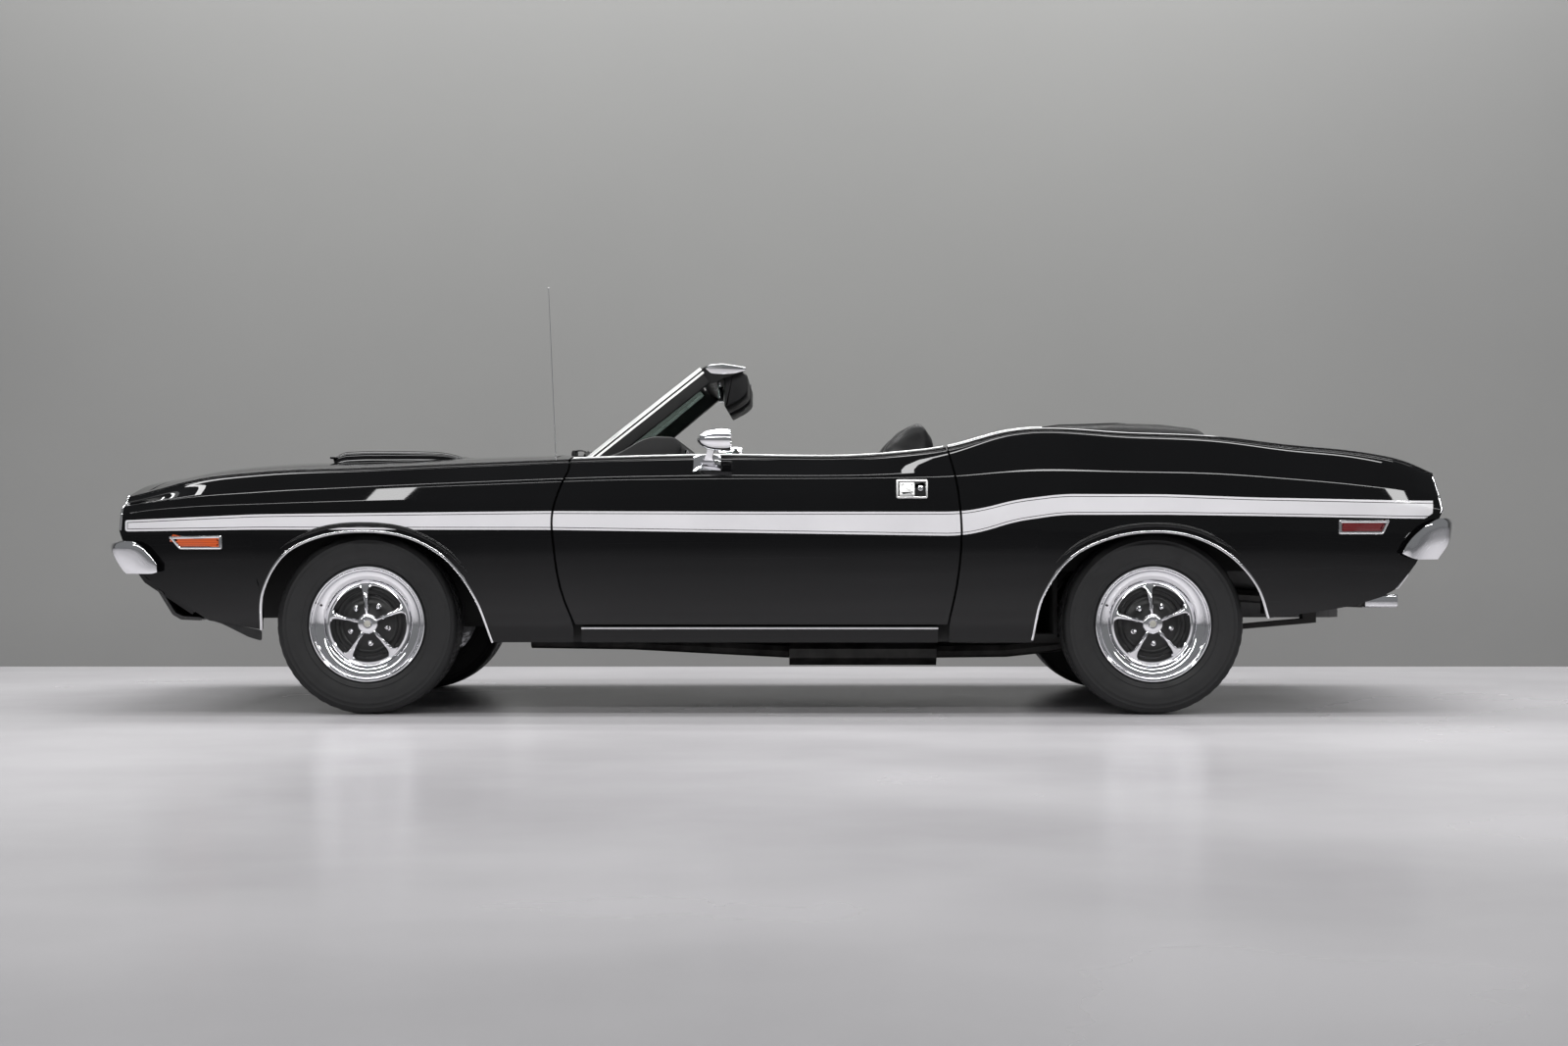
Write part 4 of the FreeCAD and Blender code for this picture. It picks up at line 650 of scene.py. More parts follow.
for name, line in (("front", front_arch), ("rear", rear_arch)):
    run = rounded_line(line, 110)
    trim(name + "_arch_moulding", run[:, 0], number_at_height(run[:, 0], run[:, 1]), lip_profile, bright_steel)
    way = np.gradient(run, axis=0)
    way /= np.linalg.norm(way, axis=1, keepdims=True)
    bead = (run + np.stack((-way[:, 1], way[:, 0]), 1) * bead_offset)[26:88]
    v = number_at_height(bead[:, 0], bead[:, 1])
    centre = skin_at(bead[:, 0], v)
    taper = np.clip(np.minimum(np.arange(len(bead)), np.arange(len(bead))[::-1]) / 9.0, 0.12, 1)
    sections = swept_sections(centre, skin_normals(bead[:, 0], v), bead_profile)
    sections = centre[:, None] + (sections - centre[:, None]) * taper[:, None, None]
    both_lofts(name + "_arch_bead", sections, gloss_black)
for name, start, end, bodies in (
        ("door", door_front(0.93) + 0.006, door_rear(0.96) - 0.006, on_doors),
        ("quarter", door_rear(0.98) + 0.014, front_axle + 2.40, on_chassis)):
    x = np.linspace(start, end, 60)
    trim("belt_trim_" + name, x, number_at_side(x, belt_side), belt_profile, satin_steel, bodies, (0, 0, 0.0005))
x = np.linspace(*rocker_span, 40)
trim("sill_trim", x, number_at_height(x, sill_trim_height), sill_profile, bright_steel, raised=(0, 0.002, 0))

# Tyres: black rubber on a radial carcass, with a plain ribbed sidewall and a grooved tread of lugs.
# Each is a ring turned about its axle, its cross grooves cut by every fourth slice of a tread row.
tyre_places = {"front_left": (front_axle, -0.758), "front_right": (front_axle, 0.758),
               "rear_left": (rear_axle, -0.771), "rear_right": (rear_axle, 0.771)}
wheel_height = 0.322
tyre_rubber = mottled("tyre_rubber", (0.008, 0.008, 0.0085), (0.014, 0.014, 0.0145), 18.0, 0.62, 0.25)
half_tread = ((0.2085, -0.088), (0.2095, -0.0985), (0.213, -0.1035), (0.219, -0.1062), (0.2245, -0.1075),
              (0.227, -0.1095), (0.230, -0.1095), (0.232, -0.1085), (0.244, -0.1115), (0.256, -0.1145),
              (0.268, -0.1158), (0.279, -0.1155), (0.2815, -0.1162), (0.284, -0.1160), (0.2865, -0.1148),
              (0.295, -0.1125), (0.2965, -0.1130), (0.2985, -0.1128), (0.300, -0.1112), (0.307, -0.1075),
              (0.313, -0.1025), (0.3172, -0.096), (0.3195, -0.090), (0.3205, -0.082), (0.3208, -0.070),
              (0.3150, -0.0688), (0.3150, -0.0622), (0.3212, -0.0610), (0.3214, -0.0430), (0.3155, -0.0420),
              (0.3155, -0.0360), (0.3216, -0.0350), (0.3218, -0.0120), (0.3158, -0.0110), (0.3158, -0.0050),
              (0.3220, -0.0040))
tyre_rings = list(half_tread) + [(r, -y) for r, y in reversed(half_tread)] + [(0.2086, 0.070), (0.2086, -0.070)]
lug_pitch, lug_groove, groove_from, groove_reach = 0.030, 0.0048, 0.3185, 0.098


def turns(count):
    """Even angles once round."""
    return np.arange(count) * 2 * math.pi / count


def turned_piece(name, rings, finish, centre, count=96, mirror=1.0, grooves=None):
    """A ring turned about an axle line from closed (radius, across) corners."""
    rings = np.asarray(rings, float)
    turn = turns(count)
    radius = np.repeat(rings[None, :, 0], count, 0)
    if grooves is not None:
        radius = radius + grooves(np.arange(count)[:, None], rings[None, :, 0], rings[None, :, 1])
    points = np.stack((centre[0] + radius * np.sin(turn)[:, None],
                       centre[1] + mirror * np.repeat(rings[None, :, 1], count, 0),
                       centre[2] + radius * np.cos(turn)[:, None]), -1)
    return loft(name, points, finish, closed=True)


def lug_gaps(i, radius, y):
    """Cross grooves between the lugs: every fourth slice of a tread row sits lower."""
    row = np.floor((y + 0.13) / lug_pitch).astype(int)
    return -lug_groove * (((i + row * 2) % 4 == 0) & (radius > groove_from) & (np.abs(y) < groove_reach))


for corner, (x, y) in tyre_places.items():
    out = 1.0 if y < 0 else -1.0
    tyre = turned_piece("road_tyre_" + corner, tyre_rings, tyre_rubber, (x, y, wheel_height), 184, out, lug_gaps)
    fitted(tyre, "wheel_" + corner, "tyre_" + corner)

# Wheels: chrome-plated five-spoke steel wheels with a deep trim ring, a black centre disc and a plain cap.
# A nut between each pair of spokes holds the disc, and a rubber valve stem passes through the rim.
chrome = mottled("chrome_plate", (0.78, 0.78, 0.80), (0.84, 0.84, 0.86), 9.0, 0.05, 0.0, 1.0)
disc_black = mottled("wheel_disc_black", (0.006, 0.006, 0.006), (0.012, 0.012, 0.012), 30.0, 0.38, 0.15)
cap_grey = mottled("wheel_cap_enamel", (0.42, 0.41, 0.36), (0.50, 0.49, 0.44), 60.0, 0.3, 0.05)
rim_rings = ((0.2082, 0.090), (0.2082, -0.096), (0.2072, -0.1010), (0.2050, -0.1038), (0.2020, -0.1045),
             (0.1990, -0.1032), (0.1965, -0.0990), (0.1930, -0.0962), (0.1905, -0.0958), (0.1895, -0.0930),
             (0.1875, -0.0918), (0.1855, -0.0930), (0.1845, -0.0952), (0.1790, -0.0945), (0.1710, -0.0920),
             (0.1630, -0.0880), (0.1565, -0.0828), (0.1525, -0.0778), (0.1505, -0.0735), (0.1480, -0.0700),
             (0.1450, -0.0690), (0.1415, -0.0700), (0.1385, -0.0712), (0.1362, -0.0700), (0.1350, -0.0650),
             (0.1350, -0.0540), (0.1400, -0.0470), (0.1960, -0.0470), (0.1960, 0.090))
disc_rings = ((0.0300, -0.0640), (0.0520, -0.0580), (0.0700, -0.0560), (0.0840, -0.0545), (0.0900, -0.0500),
              (0.0960, -0.0480), (0.1020, -0.0500), (0.1060, -0.0550), (0.1180, -0.0560), (0.1220, -0.0520),
              (0.1280, -0.0500), (0.1400, -0.0510), (0.1400, -0.0460), (0.0900, -0.0440), (0.0300, -0.0460))
hub_rings = ((0.0005, -0.0925), (0.0125, -0.0922), (0.0140, -0.0900), (0.0155, -0.0900), (0.0175, -0.0935),
             (0.0260, -0.0925), (0.0330, -0.0900), (0.0362, -0.0862), (0.0375, -0.0800), (0.0380, -0.0560),
             (0.0005, -0.0560))
cap_rings = ((0.0005, -0.0940), (0.0090, -0.0936), (0.0118, -0.0926), (0.0122, -0.0905), (0.0005, -0.0905))
nut_rings = ((0.0005, -0.0740), (0.0045, -0.0728), (0.0075, -0.0700), (0.0088, -0.0655), (0.0092, -0.0560),
             (0.0135, -0.0548), (0.0135, -0.0530), (0.0005, -0.0530))
slot_rings = ((0.1090, -0.0595), (0.1150, -0.0595), (0.1160, -0.0560), (0.1080, -0.0560))
stem_rings = ((0.0005, -0.1060), (0.0030, -0.1055), (0.0034, -0.0990), (0.0040, -0.0980), (0.0044, -0.0860),
              (0.0005, -0.0860))
spoke_stations = ((0.030, 0.0100, -0.0870), (0.040, 0.0086, -0.0905), (0.055, 0.0084, -0.0918),
                  (0.075, 0.0090, -0.0905), (0.095, 0.0098, -0.0868), (0.112, 0.0112, -0.0820),
                  (0.122, 0.0136, -0.0785), (0.129, 0.0185, -0.0755), (0.134, 0.0265, -0.0728),
                  (0.1385, 0.0370, -0.0708))
spoke_shape = ((-1.0, 0.0), (-1.0, 0.55), (-0.72, 0.86), (-0.35, 0.98), (0.0, 1.0), (0.35, 0.98), (0.72, 0.86),
               (1.0, 0.55), (1.0, 0.0))
spoke_base, spoke_count, spoke_lead = -0.0580, 5, 5.0
nut_circle, slot_half_turn, valve_circle, valve_turn = 0.067, 0.34, 0.176, -68


def on_circle(centre, turn, radius):
    """A place on a circle about an axle line."""
    return np.array(centre) + radius * np.array((math.sin(turn), 0, math.cos(turn)))


def joined(name, pieces):
    """Several meshes as one object, each keeping its own finish."""
    for other in bpy.context.selected_objects:
        other.select_set(False)
    for piece in pieces:
        piece.select_set(True)
    bpy.context.view_layer.objects.active = pieces[0]
    bpy.ops.object.join()
    made = bpy.context.view_layer.objects.active
    made.name = name
    made.select_set(False)
    return made


for corner, (x, y) in tyre_places.items():
    out = 1.0 if y < 0 else -1.0
    centre = (x, y, wheel_height)
    pieces = [turned_piece("rim_shell", rim_rings, chrome, centre, 128, out),
              turned_piece("centre_disc", disc_rings, disc_black, centre, 96, out),
              turned_piece("hub_boss", hub_rings, chrome, centre, 48, out),
              turned_piece("hub_cap", cap_rings, cap_grey, centre, 48, out)]
    for i in range(spoke_count):
        lead = math.radians(360 * i / spoke_count - spoke_lead * out)
        along = np.array((math.sin(lead), 0, math.cos(lead)))
        across = np.array((math.cos(lead), 0, -math.sin(lead)))
        sections = [[np.array(centre) + along * radius + across * (side * half)
                     + np.array((0, out * (spoke_base + rise * (top - spoke_base)), 0))
                     for side, rise in spoke_shape] for radius, half, top in spoke_stations]
        pieces.append(loft("spoke", sections, chrome))
        lead += math.pi / spoke_count
        nut_at = on_circle(centre, lead, nut_circle)
        pieces.append(turned_piece("wheel_nut", nut_rings, chrome, nut_at, 18, out))
        sections = [[on_circle(centre, turn, radius) + (0, out * across, 0) for radius, across in slot_rings]
                    for turn in np.linspace(lead - slot_half_turn, lead + slot_half_turn, 14)]
        pieces.append(loft("disc_rib", sections, disc_black))
    stem_at = on_circle(centre, math.radians(valve_turn * out), valve_circle)
    pieces.append(turned_piece("valve_stem", stem_rings, tyre_rubber, stem_at, 16, out))
    fitted(joined("styled_wheel_" + corner, pieces), "wheel_" + corner, "rim_" + corner)

# Bumpers: chrome-plated steel blades, bowed in plan and dished in section, on a pair of brackets each.
# They wrap the corners and run out to a point ahead of and behind the wheel openings.
blade_thickness, least_blade = 0.005, 0.0015
front_blade_line = ((-0.965, 0.0), (-0.9635, 0.2), (-0.958, 0.400), (-0.948, 0.600), (-0.930, 0.760),
                    (-0.893, 0.880), (-0.820, 0.915), (-0.700, 0.928))
front_dish = ((0.020, 0.616), (0.004, 0.608), (0.000, 0.597), (0.004, 0.576), (0.013, 0.555), (0.041, 0.519),
              (0.073, 0.501))
front_end_top = ((-1.1, 0.616), (-0.826, 0.616), (-0.800, 0.607), (-0.778, 0.590), (-0.747, 0.555),
                 (-0.718, 0.516))
front_end_foot = ((-1.1, 0.501), (-0.752, 0.501), (-0.735, 0.504), (-0.718, 0.515))
rear_blade_line = ((1.100, 0.0), (1.0985, 0.2), (1.094, 0.400), (1.086, 0.600), (1.073, 0.764), (1.047, 0.897),
                   (0.980, 0.942), (0.850, 0.956))
rear_dish = ((0.010, 0.697), (0.002, 0.690), (0.000, 0.674), (0.003, 0.645), (0.010, 0.612), (0.038, 0.572),
             (0.060, 0.552))
rear_end_top = ((-1.2, 0.697), (-1.006, 0.697), (-0.985, 0.690), (-0.946, 0.669), (-0.915, 0.643),
                (-0.888, 0.616), (-0.865, 0.575))
rear_end_foot = ((-1.2, 0.552), (-0.918, 0.552), (-0.890, 0.560), (-0.865, 0.574))
bracket_steel = mottled("bracket_steel", (0.020, 0.020, 0.021), (0.035, 0.034, 0.034), 40.0, 0.5, 0.2, 0.4)


def bumper(name, axle, line, dish, end_top, end_foot):
    """A dished blade along a bowed plan line, its height closing to a point at each end."""
    half_line = shifted(line, axle)
    plan = rounded_line([(a, -b) for a, b in reversed(half_line[1:])] + half_line, 141)
    shape = rounded_line(dish, 17)
    rim_low, rim_high = shape[-1, 1], shape[0, 1]
    way = np.gradient(plan, axis=0)
    way /= np.linalg.norm(way, axis=1, keepdims=True)
    inward = 1.0 if line[0][0] < 0 else -1.0
    inside = np.stack((way[:, 1], -way[:, 0]), 1) * inward
    sections = []
    for (px, py), (nx, ny) in zip(plan, inside):
        high, low = (np.interp((px - axle) * inward, *np.transpose(ends)) for ends in (end_top, end_foot))
        z = low + (shape[:, 1] - rim_low) / (rim_high - rim_low) * (high - low)
        depth = shape[:, 0] * abs(nx)
        face = np.stack((px + nx * depth, py + ny * depth, z), 1)
        sections.append(np.concatenate((face, face[::-1] + np.array((nx, ny, 0)) * blade_thickness)))
    blade = loft(name + "_blade", [s for s in sections if np.ptp(s[:, 2]) > least_blade], chrome)
    fitted(blade, stands_for=name)


def bevelled_box(name, corner, far_corner, finish, edge=0.003, body="chassis"):
    """A plain fitting with rounded edges between two corners, attached to its body."""
    low, high = np.minimum(corner, far_corner), np.maximum(corner, far_corner)
    work = bmesh.new()
    bmesh.ops.create_cube(work, size=1.0)
    for vert in work.verts:
        vert.co = Vector((low + high) / 2 + np.array(vert.co) * (high - low))
    bmesh.ops.bevel(work, geom=work.edges[:], offset=edge, segments=3, affect="EDGES", profile=0.5)
    shape = bpy.data.meshes.new(name)
    work.to_mesh(shape)
    work.free()
    shape.polygons.foreach_set("use_smooth", [True] * len(shape.polygons))
    shape.materials.append(finish)
    return fitted(new_object(name, shape), body)


bumper("front_bumper", front_axle, front_blade_line, front_dish, front_end_top, front_end_foot)
bumper("rear_bumper", rear_axle, rear_blade_line, rear_dish, rear_end_top, rear_end_foot)
for side, tag in sides:
    bevelled_box("front_bumper_bracket_" + tag, (front_axle - 0.940, side * 0.440, 0.575),
                 (front_axle - 0.7005, side * 0.485, 0.600), bracket_steel)
    bevelled_box("rear_bumper_bracket_" + tag, (rear_axle + 0.964, side * 0.340, 0.625),
                 (rear_axle + 1.080, side * 0.400, 0.665), bracket_steel)

# Cowl shoulders and hood scoops: the painted corners beside the windshield's foot, and two raised intakes
# pressed onto the hood, each with a near-black slab of painted shade for the hollow of its mouth, and a lip at its
# front.
fitted(folded_panel("cowl_corner_skin", top_grid(front_axle + 0.7335, front_axle + 0.800, 0.828, 10, 34),
                    panel_depth, gloss_black))
satin_black = mottled("satin_black", (0.005, 0.005, 0.005), (0.009, 0.009, 0.009), 26.0, 0.40, 0.12,
                      Specular_IOR_Level=0.3)
# The mouth slab's near-black colour is painted shade, standing in for the dark hollow inside each intake.
intake_shade_black = mottled("intake_painted_shade", (0.003, 0.003, 0.003), (0.006, 0.006, 0.006), 26.0, 0.7, 0.2)
scoop_inner, scoop_outer, scoop_sunk, scoop_least = 0.205, 0.392, 0.004, 0.0045
scoop_line = rounded_line(shifted(((-0.200, 0.924), (-0.190, 0.936), (-0.172, 0.945), (-0.120, 0.9505),
                                   (0.000, 0.952), (0.120, 0.951), (0.200, 0.947), (0.262, 0.933),
                                   (0.300, 0.915), (0.306, 0.909)), front_axle), 48)
scoop_across = np.array((0.0, 0.012, 0.045, 0.10, 0.19, 0.36, 0.64, 0.81, 0.90, 0.955, 0.988, 1.0))
scoop_rise = np.array((0.0, 0.42, 0.74, 0.91, 0.985, 1.0, 1.0, 0.985, 0.91, 0.74, 0.42, 0.0))
mouth_x, mouth_top, lip_foot, lip_top = front_axle - 0.2015, 0.922, 0.921, 0.929


def top_height(x, y):
    """The height of the top skin at places x, y."""
    return skin_at(x, number_at_side(x, y))[..., 2]


scoop_y = scoop_inner + scoop_across * (scoop_outer - scoop_inner)
sections = []
for x, z in scoop_line:
    ground = top_height(np.full_like(scoop_y, x), scoop_y) - scoop_sunk
    top = np.maximum(z, ground + scoop_least)
    sections.append(np.stack((np.full_like(scoop_y, x), scoop_y, ground + scoop_rise * (top - ground)), 1))
both_lofts("hood_scoop", sections, gloss_black, ("hood_body", "hood_body"))
mouth_foot = float(top_height(mouth_x, 0.3)) + 0.001
# Each mouth is a thin near-black slab: painted shade for the intake's hollow.
for side, tag in sides:
    bevelled_box("scoop_mouth_" + tag, (mouth_x - 0.003, side * (scoop_inner + 0.010), mouth_foot),
                 (mouth_x + 0.004, side * (scoop_outer - 0.010), mouth_top), intake_shade_black, 0.0015,
                 "hood_body")
    bevelled_box("scoop_lip_" + tag, (mouth_x - 0.014, side * (scoop_inner - 0.004), lip_foot),
                 (mouth_x + 0.012, side * (scoop_outer + 0.004), lip_top), gloss_black, 0.003,
                 "hood_body")

# Side markers: moulded plastic lenses, amber in front and red behind, with fine level ribs, each rib's colour brighter
# on its crest and darker in its groove as painted highlight and shade.
# Each sits in a plated frame let into its panel.
# The ribs' colour bands, deep in the grooves and bright on the crests, are painted shade and highlight.
ribs_group, given, made_here = node_group(
    "moulded_ribs", (("Groove Shade", "Color"), ("Bright", "Color"), ("Ribs", "Float"), ("Ripple", "Float"),
                     ("Relief", "Float"), ("Turn", "Vector")), (("Base Color", "Color"), ("Normal", "Vector")))
spot = add_node(ribs_group, "TexCoord").outputs["Object"]
turned = add_node(ribs_group, "VectorRotate", rotation_type="EULER_XYZ")
rib = add_node(ribs_group, "TexWave", wave_type="BANDS", bands_direction="Z")
tone = add_node(ribs_group, "Mix", data_type="RGBA")
relief = add_node(ribs_group, "Bump", {"Distance": 0.001})
for source, target in ((spot, turned.inputs["Vector"]), (given["Turn"], turned.inputs["Rotation"]),
                       (turned.outputs["Vector"], rib.inputs["Vector"]), (given["Ribs"], rib.inputs["Scale"]),
                       (given["Ripple"], rib.inputs["Distortion"]), (rib.outputs["Fac"], tone.inputs[0]),
                       (given["Groove Shade"], tone.inputs[6]), (given["Bright"], tone.inputs[7]),
                       (given["Relief"], relief.inputs["Strength"]), (rib.outputs["Fac"], relief.inputs["Height"]),
                       (tone.outputs[2], made_here["Base Color"]), (relief.outputs["Normal"], made_here["Normal"])):
    ribs_group.links.new(source, target)


def lens_material(name, groove_shade, bright):
    """A ribbed plastic lens of one colour, with painted shade in its grooves and a painted highlight on its ribs."""
    made = material(name, bright, 0.16, Coat_Weight=0.6, Coat_Roughness=0.03)
    return with_effect(made, ribs_group, ("Base Color", "Normal"), {
        "Groove Shade": (*groove_shade, 1), "Bright": (*bright, 1), "Ribs": 55.0, "Ripple": 0.4, "Relief": 0.35})


amber_lens = lens_material("amber_lens", (0.42, 0.045, 0.004), (0.80, 0.13, 0.015))
red_lens = lens_material("red_lens", (0.075, 0.002, 0.003), (0.20, 0.006, 0.010))
front_marker = shifted(((-0.698, 0.6335), (-0.503, 0.6375), (-0.503, 0.5865), (-0.657, 0.5865)), front_axle)
rear_marker = shifted(((0.642, 0.691), (0.827, 0.691), (0.802, 0.6400), (0.642, 0.6400)), rear_axle)
marker_frame = ((0.0, -0.002), (0.0, 0.0030), (0.0020, 0.0058), (0.0058, 0.0070), (0.0096, 0.0056),
                (0.0112, 0.0010))
marker_lens = ((0.0113, 0.0008), (0.0116, 0.0030), (0.0140, 0.0040), (0.0190, 0.0044))


def outline_offset(outline, distance):
    """A closed outline moved in by a distance, corner by corner."""
    outline = np.array(outline, float)
    before, after = np.roll(outline, 1, 0), np.roll(outline, -1, 0)
    enter = (outline - before) / np.linalg.norm(outline - before, axis=1, keepdims=True)
    leave = (after - outline) / np.linalg.norm(after - outline, axis=1, keepdims=True)
    turn = 1.0 if np.sum(before[:, 0] * outline[:, 1] - outline[:, 0] * before[:, 1]) > 0 else -1.0
    inward_in = np.stack((-enter[:, 1], enter[:, 0]), 1) * turn
    inward_out = np.stack((-leave[:, 1], leave[:, 0]), 1) * turn
    middle_way = inward_in + inward_out
    scale = distance / np.maximum((middle_way * inward_in).sum(1), 0.3)
    return outline + middle_way * scale[:, None]


def rounded_outline(corners, radius, steps=5):
    """A closed outline with its corners rounded."""
    corners = [np.array(c, float) for c in corners]
    made = []
    for i, corner in enumerate(corners):
        back, ahead = corners[i - 1] - corner, corners[(i + 1) % len(corners)] - corner
        room = min(radius, 0.45 * np.linalg.norm(back), 0.45 * np.linalg.norm(ahead))
        a = corner + back / np.linalg.norm(back) * room
        b = corner + ahead / np.linalg.norm(ahead) * room
        made += [(1 - t) ** 2 * a + 2 * t * (1 - t) * corner + t**2 * b for t in np.linspace(0, 1, steps)]
    return np.array(made)


def on_skin(outline, lift):
    """A side-view outline laid on the right-hand skin, moved outward."""
    v = number_at_height(outline[:, 0], outline[:, 1])
    return skin_at(outline[:, 0], v) + skin_normals(outline[:, 0], v) * lift


def skin_fitting(name, outline, levels, finish, bodies, ring=False):
    """A fitting on both sides of the body: an outline at each level (inset, lift), as a ring or closed."""
    rings = [on_skin(outline_offset(outline, inset), lift) for inset, lift in levels]
    return both_lofts(name, np.stack(rings, 1) if ring else rings, finish, bodies, ring)


for name, corners, glass in (("front_marker", front_marker, amber_lens), ("rear_marker", rear_marker, red_lens)):
    outline = rounded_outline(corners, 0.007)
    frames = skin_fitting(name + "_frame", outline, marker_frame, bright_steel, on_chassis, True)
    skin_fitting(name + "_lens", outline, marker_lens, glass, on_chassis)
    if name == "front_marker":
        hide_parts("side_markers")

# Door handles: a recessed cup in a frame, plated on the car but drawn in satin black as painted shade of its recess,
# with a lift paddle at its front and a key lock behind.
# Each is screwed to its door from inside.
handle_low, handle_high = (front_axle + 1.877, 0.7655), (front_axle + 1.990, 0.8335)
paddle_low = (handle_low[0] + 0.012, handle_low[1] + 0.010)
paddle_high = (handle_low[0] + 0.066, handle_high[1] - 0.010)
handle_levels = ((0.0, -0.001), (0.0, 0.004), (0.002, 0.0075), (0.006, 0.0078), (0.0085, 0.0055), (0.009, 0.001))
cup_levels = ((0.0088, 0.0006), (0.0095, 0.0012), (0.020, 0.0014))
paddle_levels = ((0.0, 0.0012), (0.0, 0.0052), (0.0015, 0.0068), (0.012, 0.0076))
lock_at, lock_radius = np.array((handle_low[0] + 0.086, 0.802)), 0.0095
lock_levels = ((1.0, 0.001), (1.0, 0.0085), (0.85, 0.0098), (0.5, 0.0100), (0.45, 0.0088))


def box_outline(low, high, radius):
    """A rounded rectangle between two corners."""
    return rounded_outline([low, (high[0], low[1]), high, (low[0], high[1])], radius)


handle_outline = box_outline(handle_low, handle_high, 0.008)
frames = skin_fitting("handle_frame", handle_outline, handle_levels, satin_steel, on_doors, True)
for frame_piece, (side, tag) in zip(frames, sides):
    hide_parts("door_handle_" + tag)
# The cup is drawn satin black: painted shade for the hollow of the recess, where the real cup is plated.
skin_fitting("handle_cup_shade", handle_outline, cup_levels, satin_black, on_doors)
skin_fitting("handle_paddle", box_outline(paddle_low, paddle_high, 0.004), paddle_levels, satin_steel,
             on_doors)
circle = np.array([(math.cos(t), math.sin(t)) for t in turns(24)])
both_lofts("door_lock", [on_skin(lock_at + circle * lock_radius * share, lift) for share, lift in lock_levels],
           chrome, on_doors)

# Aerial: a plated steel whip with a rolled tip, on a stepped base.
# The base is clamped through the top of the right fender.
aerial_foot = np.array((front_axle + 0.523, 0.760, float(top_height(front_axle + 0.523, 0.760))))
aerial_tip = np.array((front_axle + 0.490, 0.760, 1.6685))
mast_length = float(np.linalg.norm(aerial_tip - aerial_foot))
aerial_rings = ((0.0005, -0.004), (0.0150, -0.004), (0.0150, 0.003), (0.0120, 0.008), (0.0075, 0.012),
                (0.0062, 0.022), (0.0040, 0.026), (0.0026, 0.030), (0.0018, 0.034), (0.0016, 0.50),
                (0.0012, mast_length - 0.006), (0.0026, mast_length - 0.0045), (0.0030, mast_length - 0.002),
                (0.0012, mast_length))


def turned_along(name, rings, finish, foot, way, count=24):
    """A turned piece about any line: rings of (radius, distance along it)."""
    way = np.array(way, float) / np.linalg.norm(way)
    side = np.cross(way, (0, 1, 0) if abs(way[1]) < 0.9 else (1, 0, 0))
    side /= np.linalg.norm(side)
    other = np.cross(way, side)
    return loft(name, [[np.array(foot) + way * along + radius * (side * math.cos(t) + other * math.sin(t))
                        for t in turns(count)] for radius, along in rings], finish)


fitted(turned_along("aerial_whip", aerial_rings, chrome, aerial_foot, aerial_tip - aerial_foot),
       stands_for="aerial")

# Door mirrors: plated bullet shells on short oval stems, each on a pad screwed to the door's top.
# The glass is set into a rim at the back of the shell.
mirror_shell = ((0.0008, -0.0600), (0.0065, -0.0588), (0.0140, -0.0542), (0.0222, -0.0458), (0.0290, -0.0350),
                (0.0343, -0.0215), (0.0378, -0.0065), (0.0396, 0.0100), (0.0402, 0.0280), (0.0398, 0.0420),
                (0.0388, 0.0520), (0.0372, 0.0572), (0.0354, 0.0585), (0.0342, 0.0550), (0.0340, 0.0510),
                (0.0008, 0.0505))
mirror_disc = ((0.0008, 0.0507), (0.0338, 0.0507), (0.0338, 0.0522), (0.0008, 0.0526))
mirror_x, mirror_y, mirror_z = front_axle + 1.238, 0.9535, 0.974
mirror_foot_x, mirror_foot_y, stem_steps = front_axle + 1.212, 0.905, 14
pad_x, pad_y = np.linspace(front_axle + 1.163, front_axle + 1.259, 14), np.linspace(0.886, 0.924, 8)
pad_half_length, pad_half_width, pad_rise = 0.050, 0.021, 0.0055
silvered = mottled("mirror_glass", (0.78, 0.80, 0.82), (0.84, 0.86, 0.88), 4.0, 0.02, 0.0, 1.0)
for (side, tag), body in zip(sides, on_doors):
    head_at = np.array((mirror_x, side * mirror_y, mirror_z))
    foot_z = float(top_height(mirror_foot_x, mirror_foot_y)) + 0.004
    foot_at = np.array((mirror_foot_x, side * mirror_foot_y, foot_z))
    stem_line = rounded_line([foot_at, foot_at + (0.006, side * 0.012, 0.018),
                              head_at + (-0.008, side * -0.010, -0.024)], stem_steps)
    stem_width = np.interp(np.linspace(0, 1, stem_steps), (0, 0.2, 0.6, 1), (0.021, 0.013, 0.0105, 0.014))
    stem = [[p + w * np.array((1.25 * math.sin(t), side * 0.85 * 0.72 * math.cos(t), 0.5 * 0.72 * math.cos(t)))
             for t in turns(24)] for p, w in zip(stem_line, stem_width)]
    grid_x, grid_y = np.meshgrid(pad_x, pad_y, indexing="ij")
    bulge = (np.clip(1 - np.abs((grid_x - pad_x.mean()) / pad_half_length) ** 4, 0, 1)
             * np.clip(1 - np.abs((grid_y - mirror_foot_y) / pad_half_width) ** 4, 0, 1))
    pad = skin_at(grid_x, number_at_side(grid_x, grid_y))
    pad[..., 2] += 0.0010 + pad_rise * bulge
    mirror = joined("door_mirror_" + tag, [
        turned_along("mirror_shell", mirror_shell, chrome, head_at, (1, 0, 0), 48),
        turned_along("mirror_disc", mirror_disc, silvered, head_at, (1, 0, 0), 48),
        loft("mirror_stem", stem, chrome), folded_panel("mirror_pad", pad * (1, side, 1), 0.0008, chrome)])
    fitted(mirror, body, "mirror_" + tag)

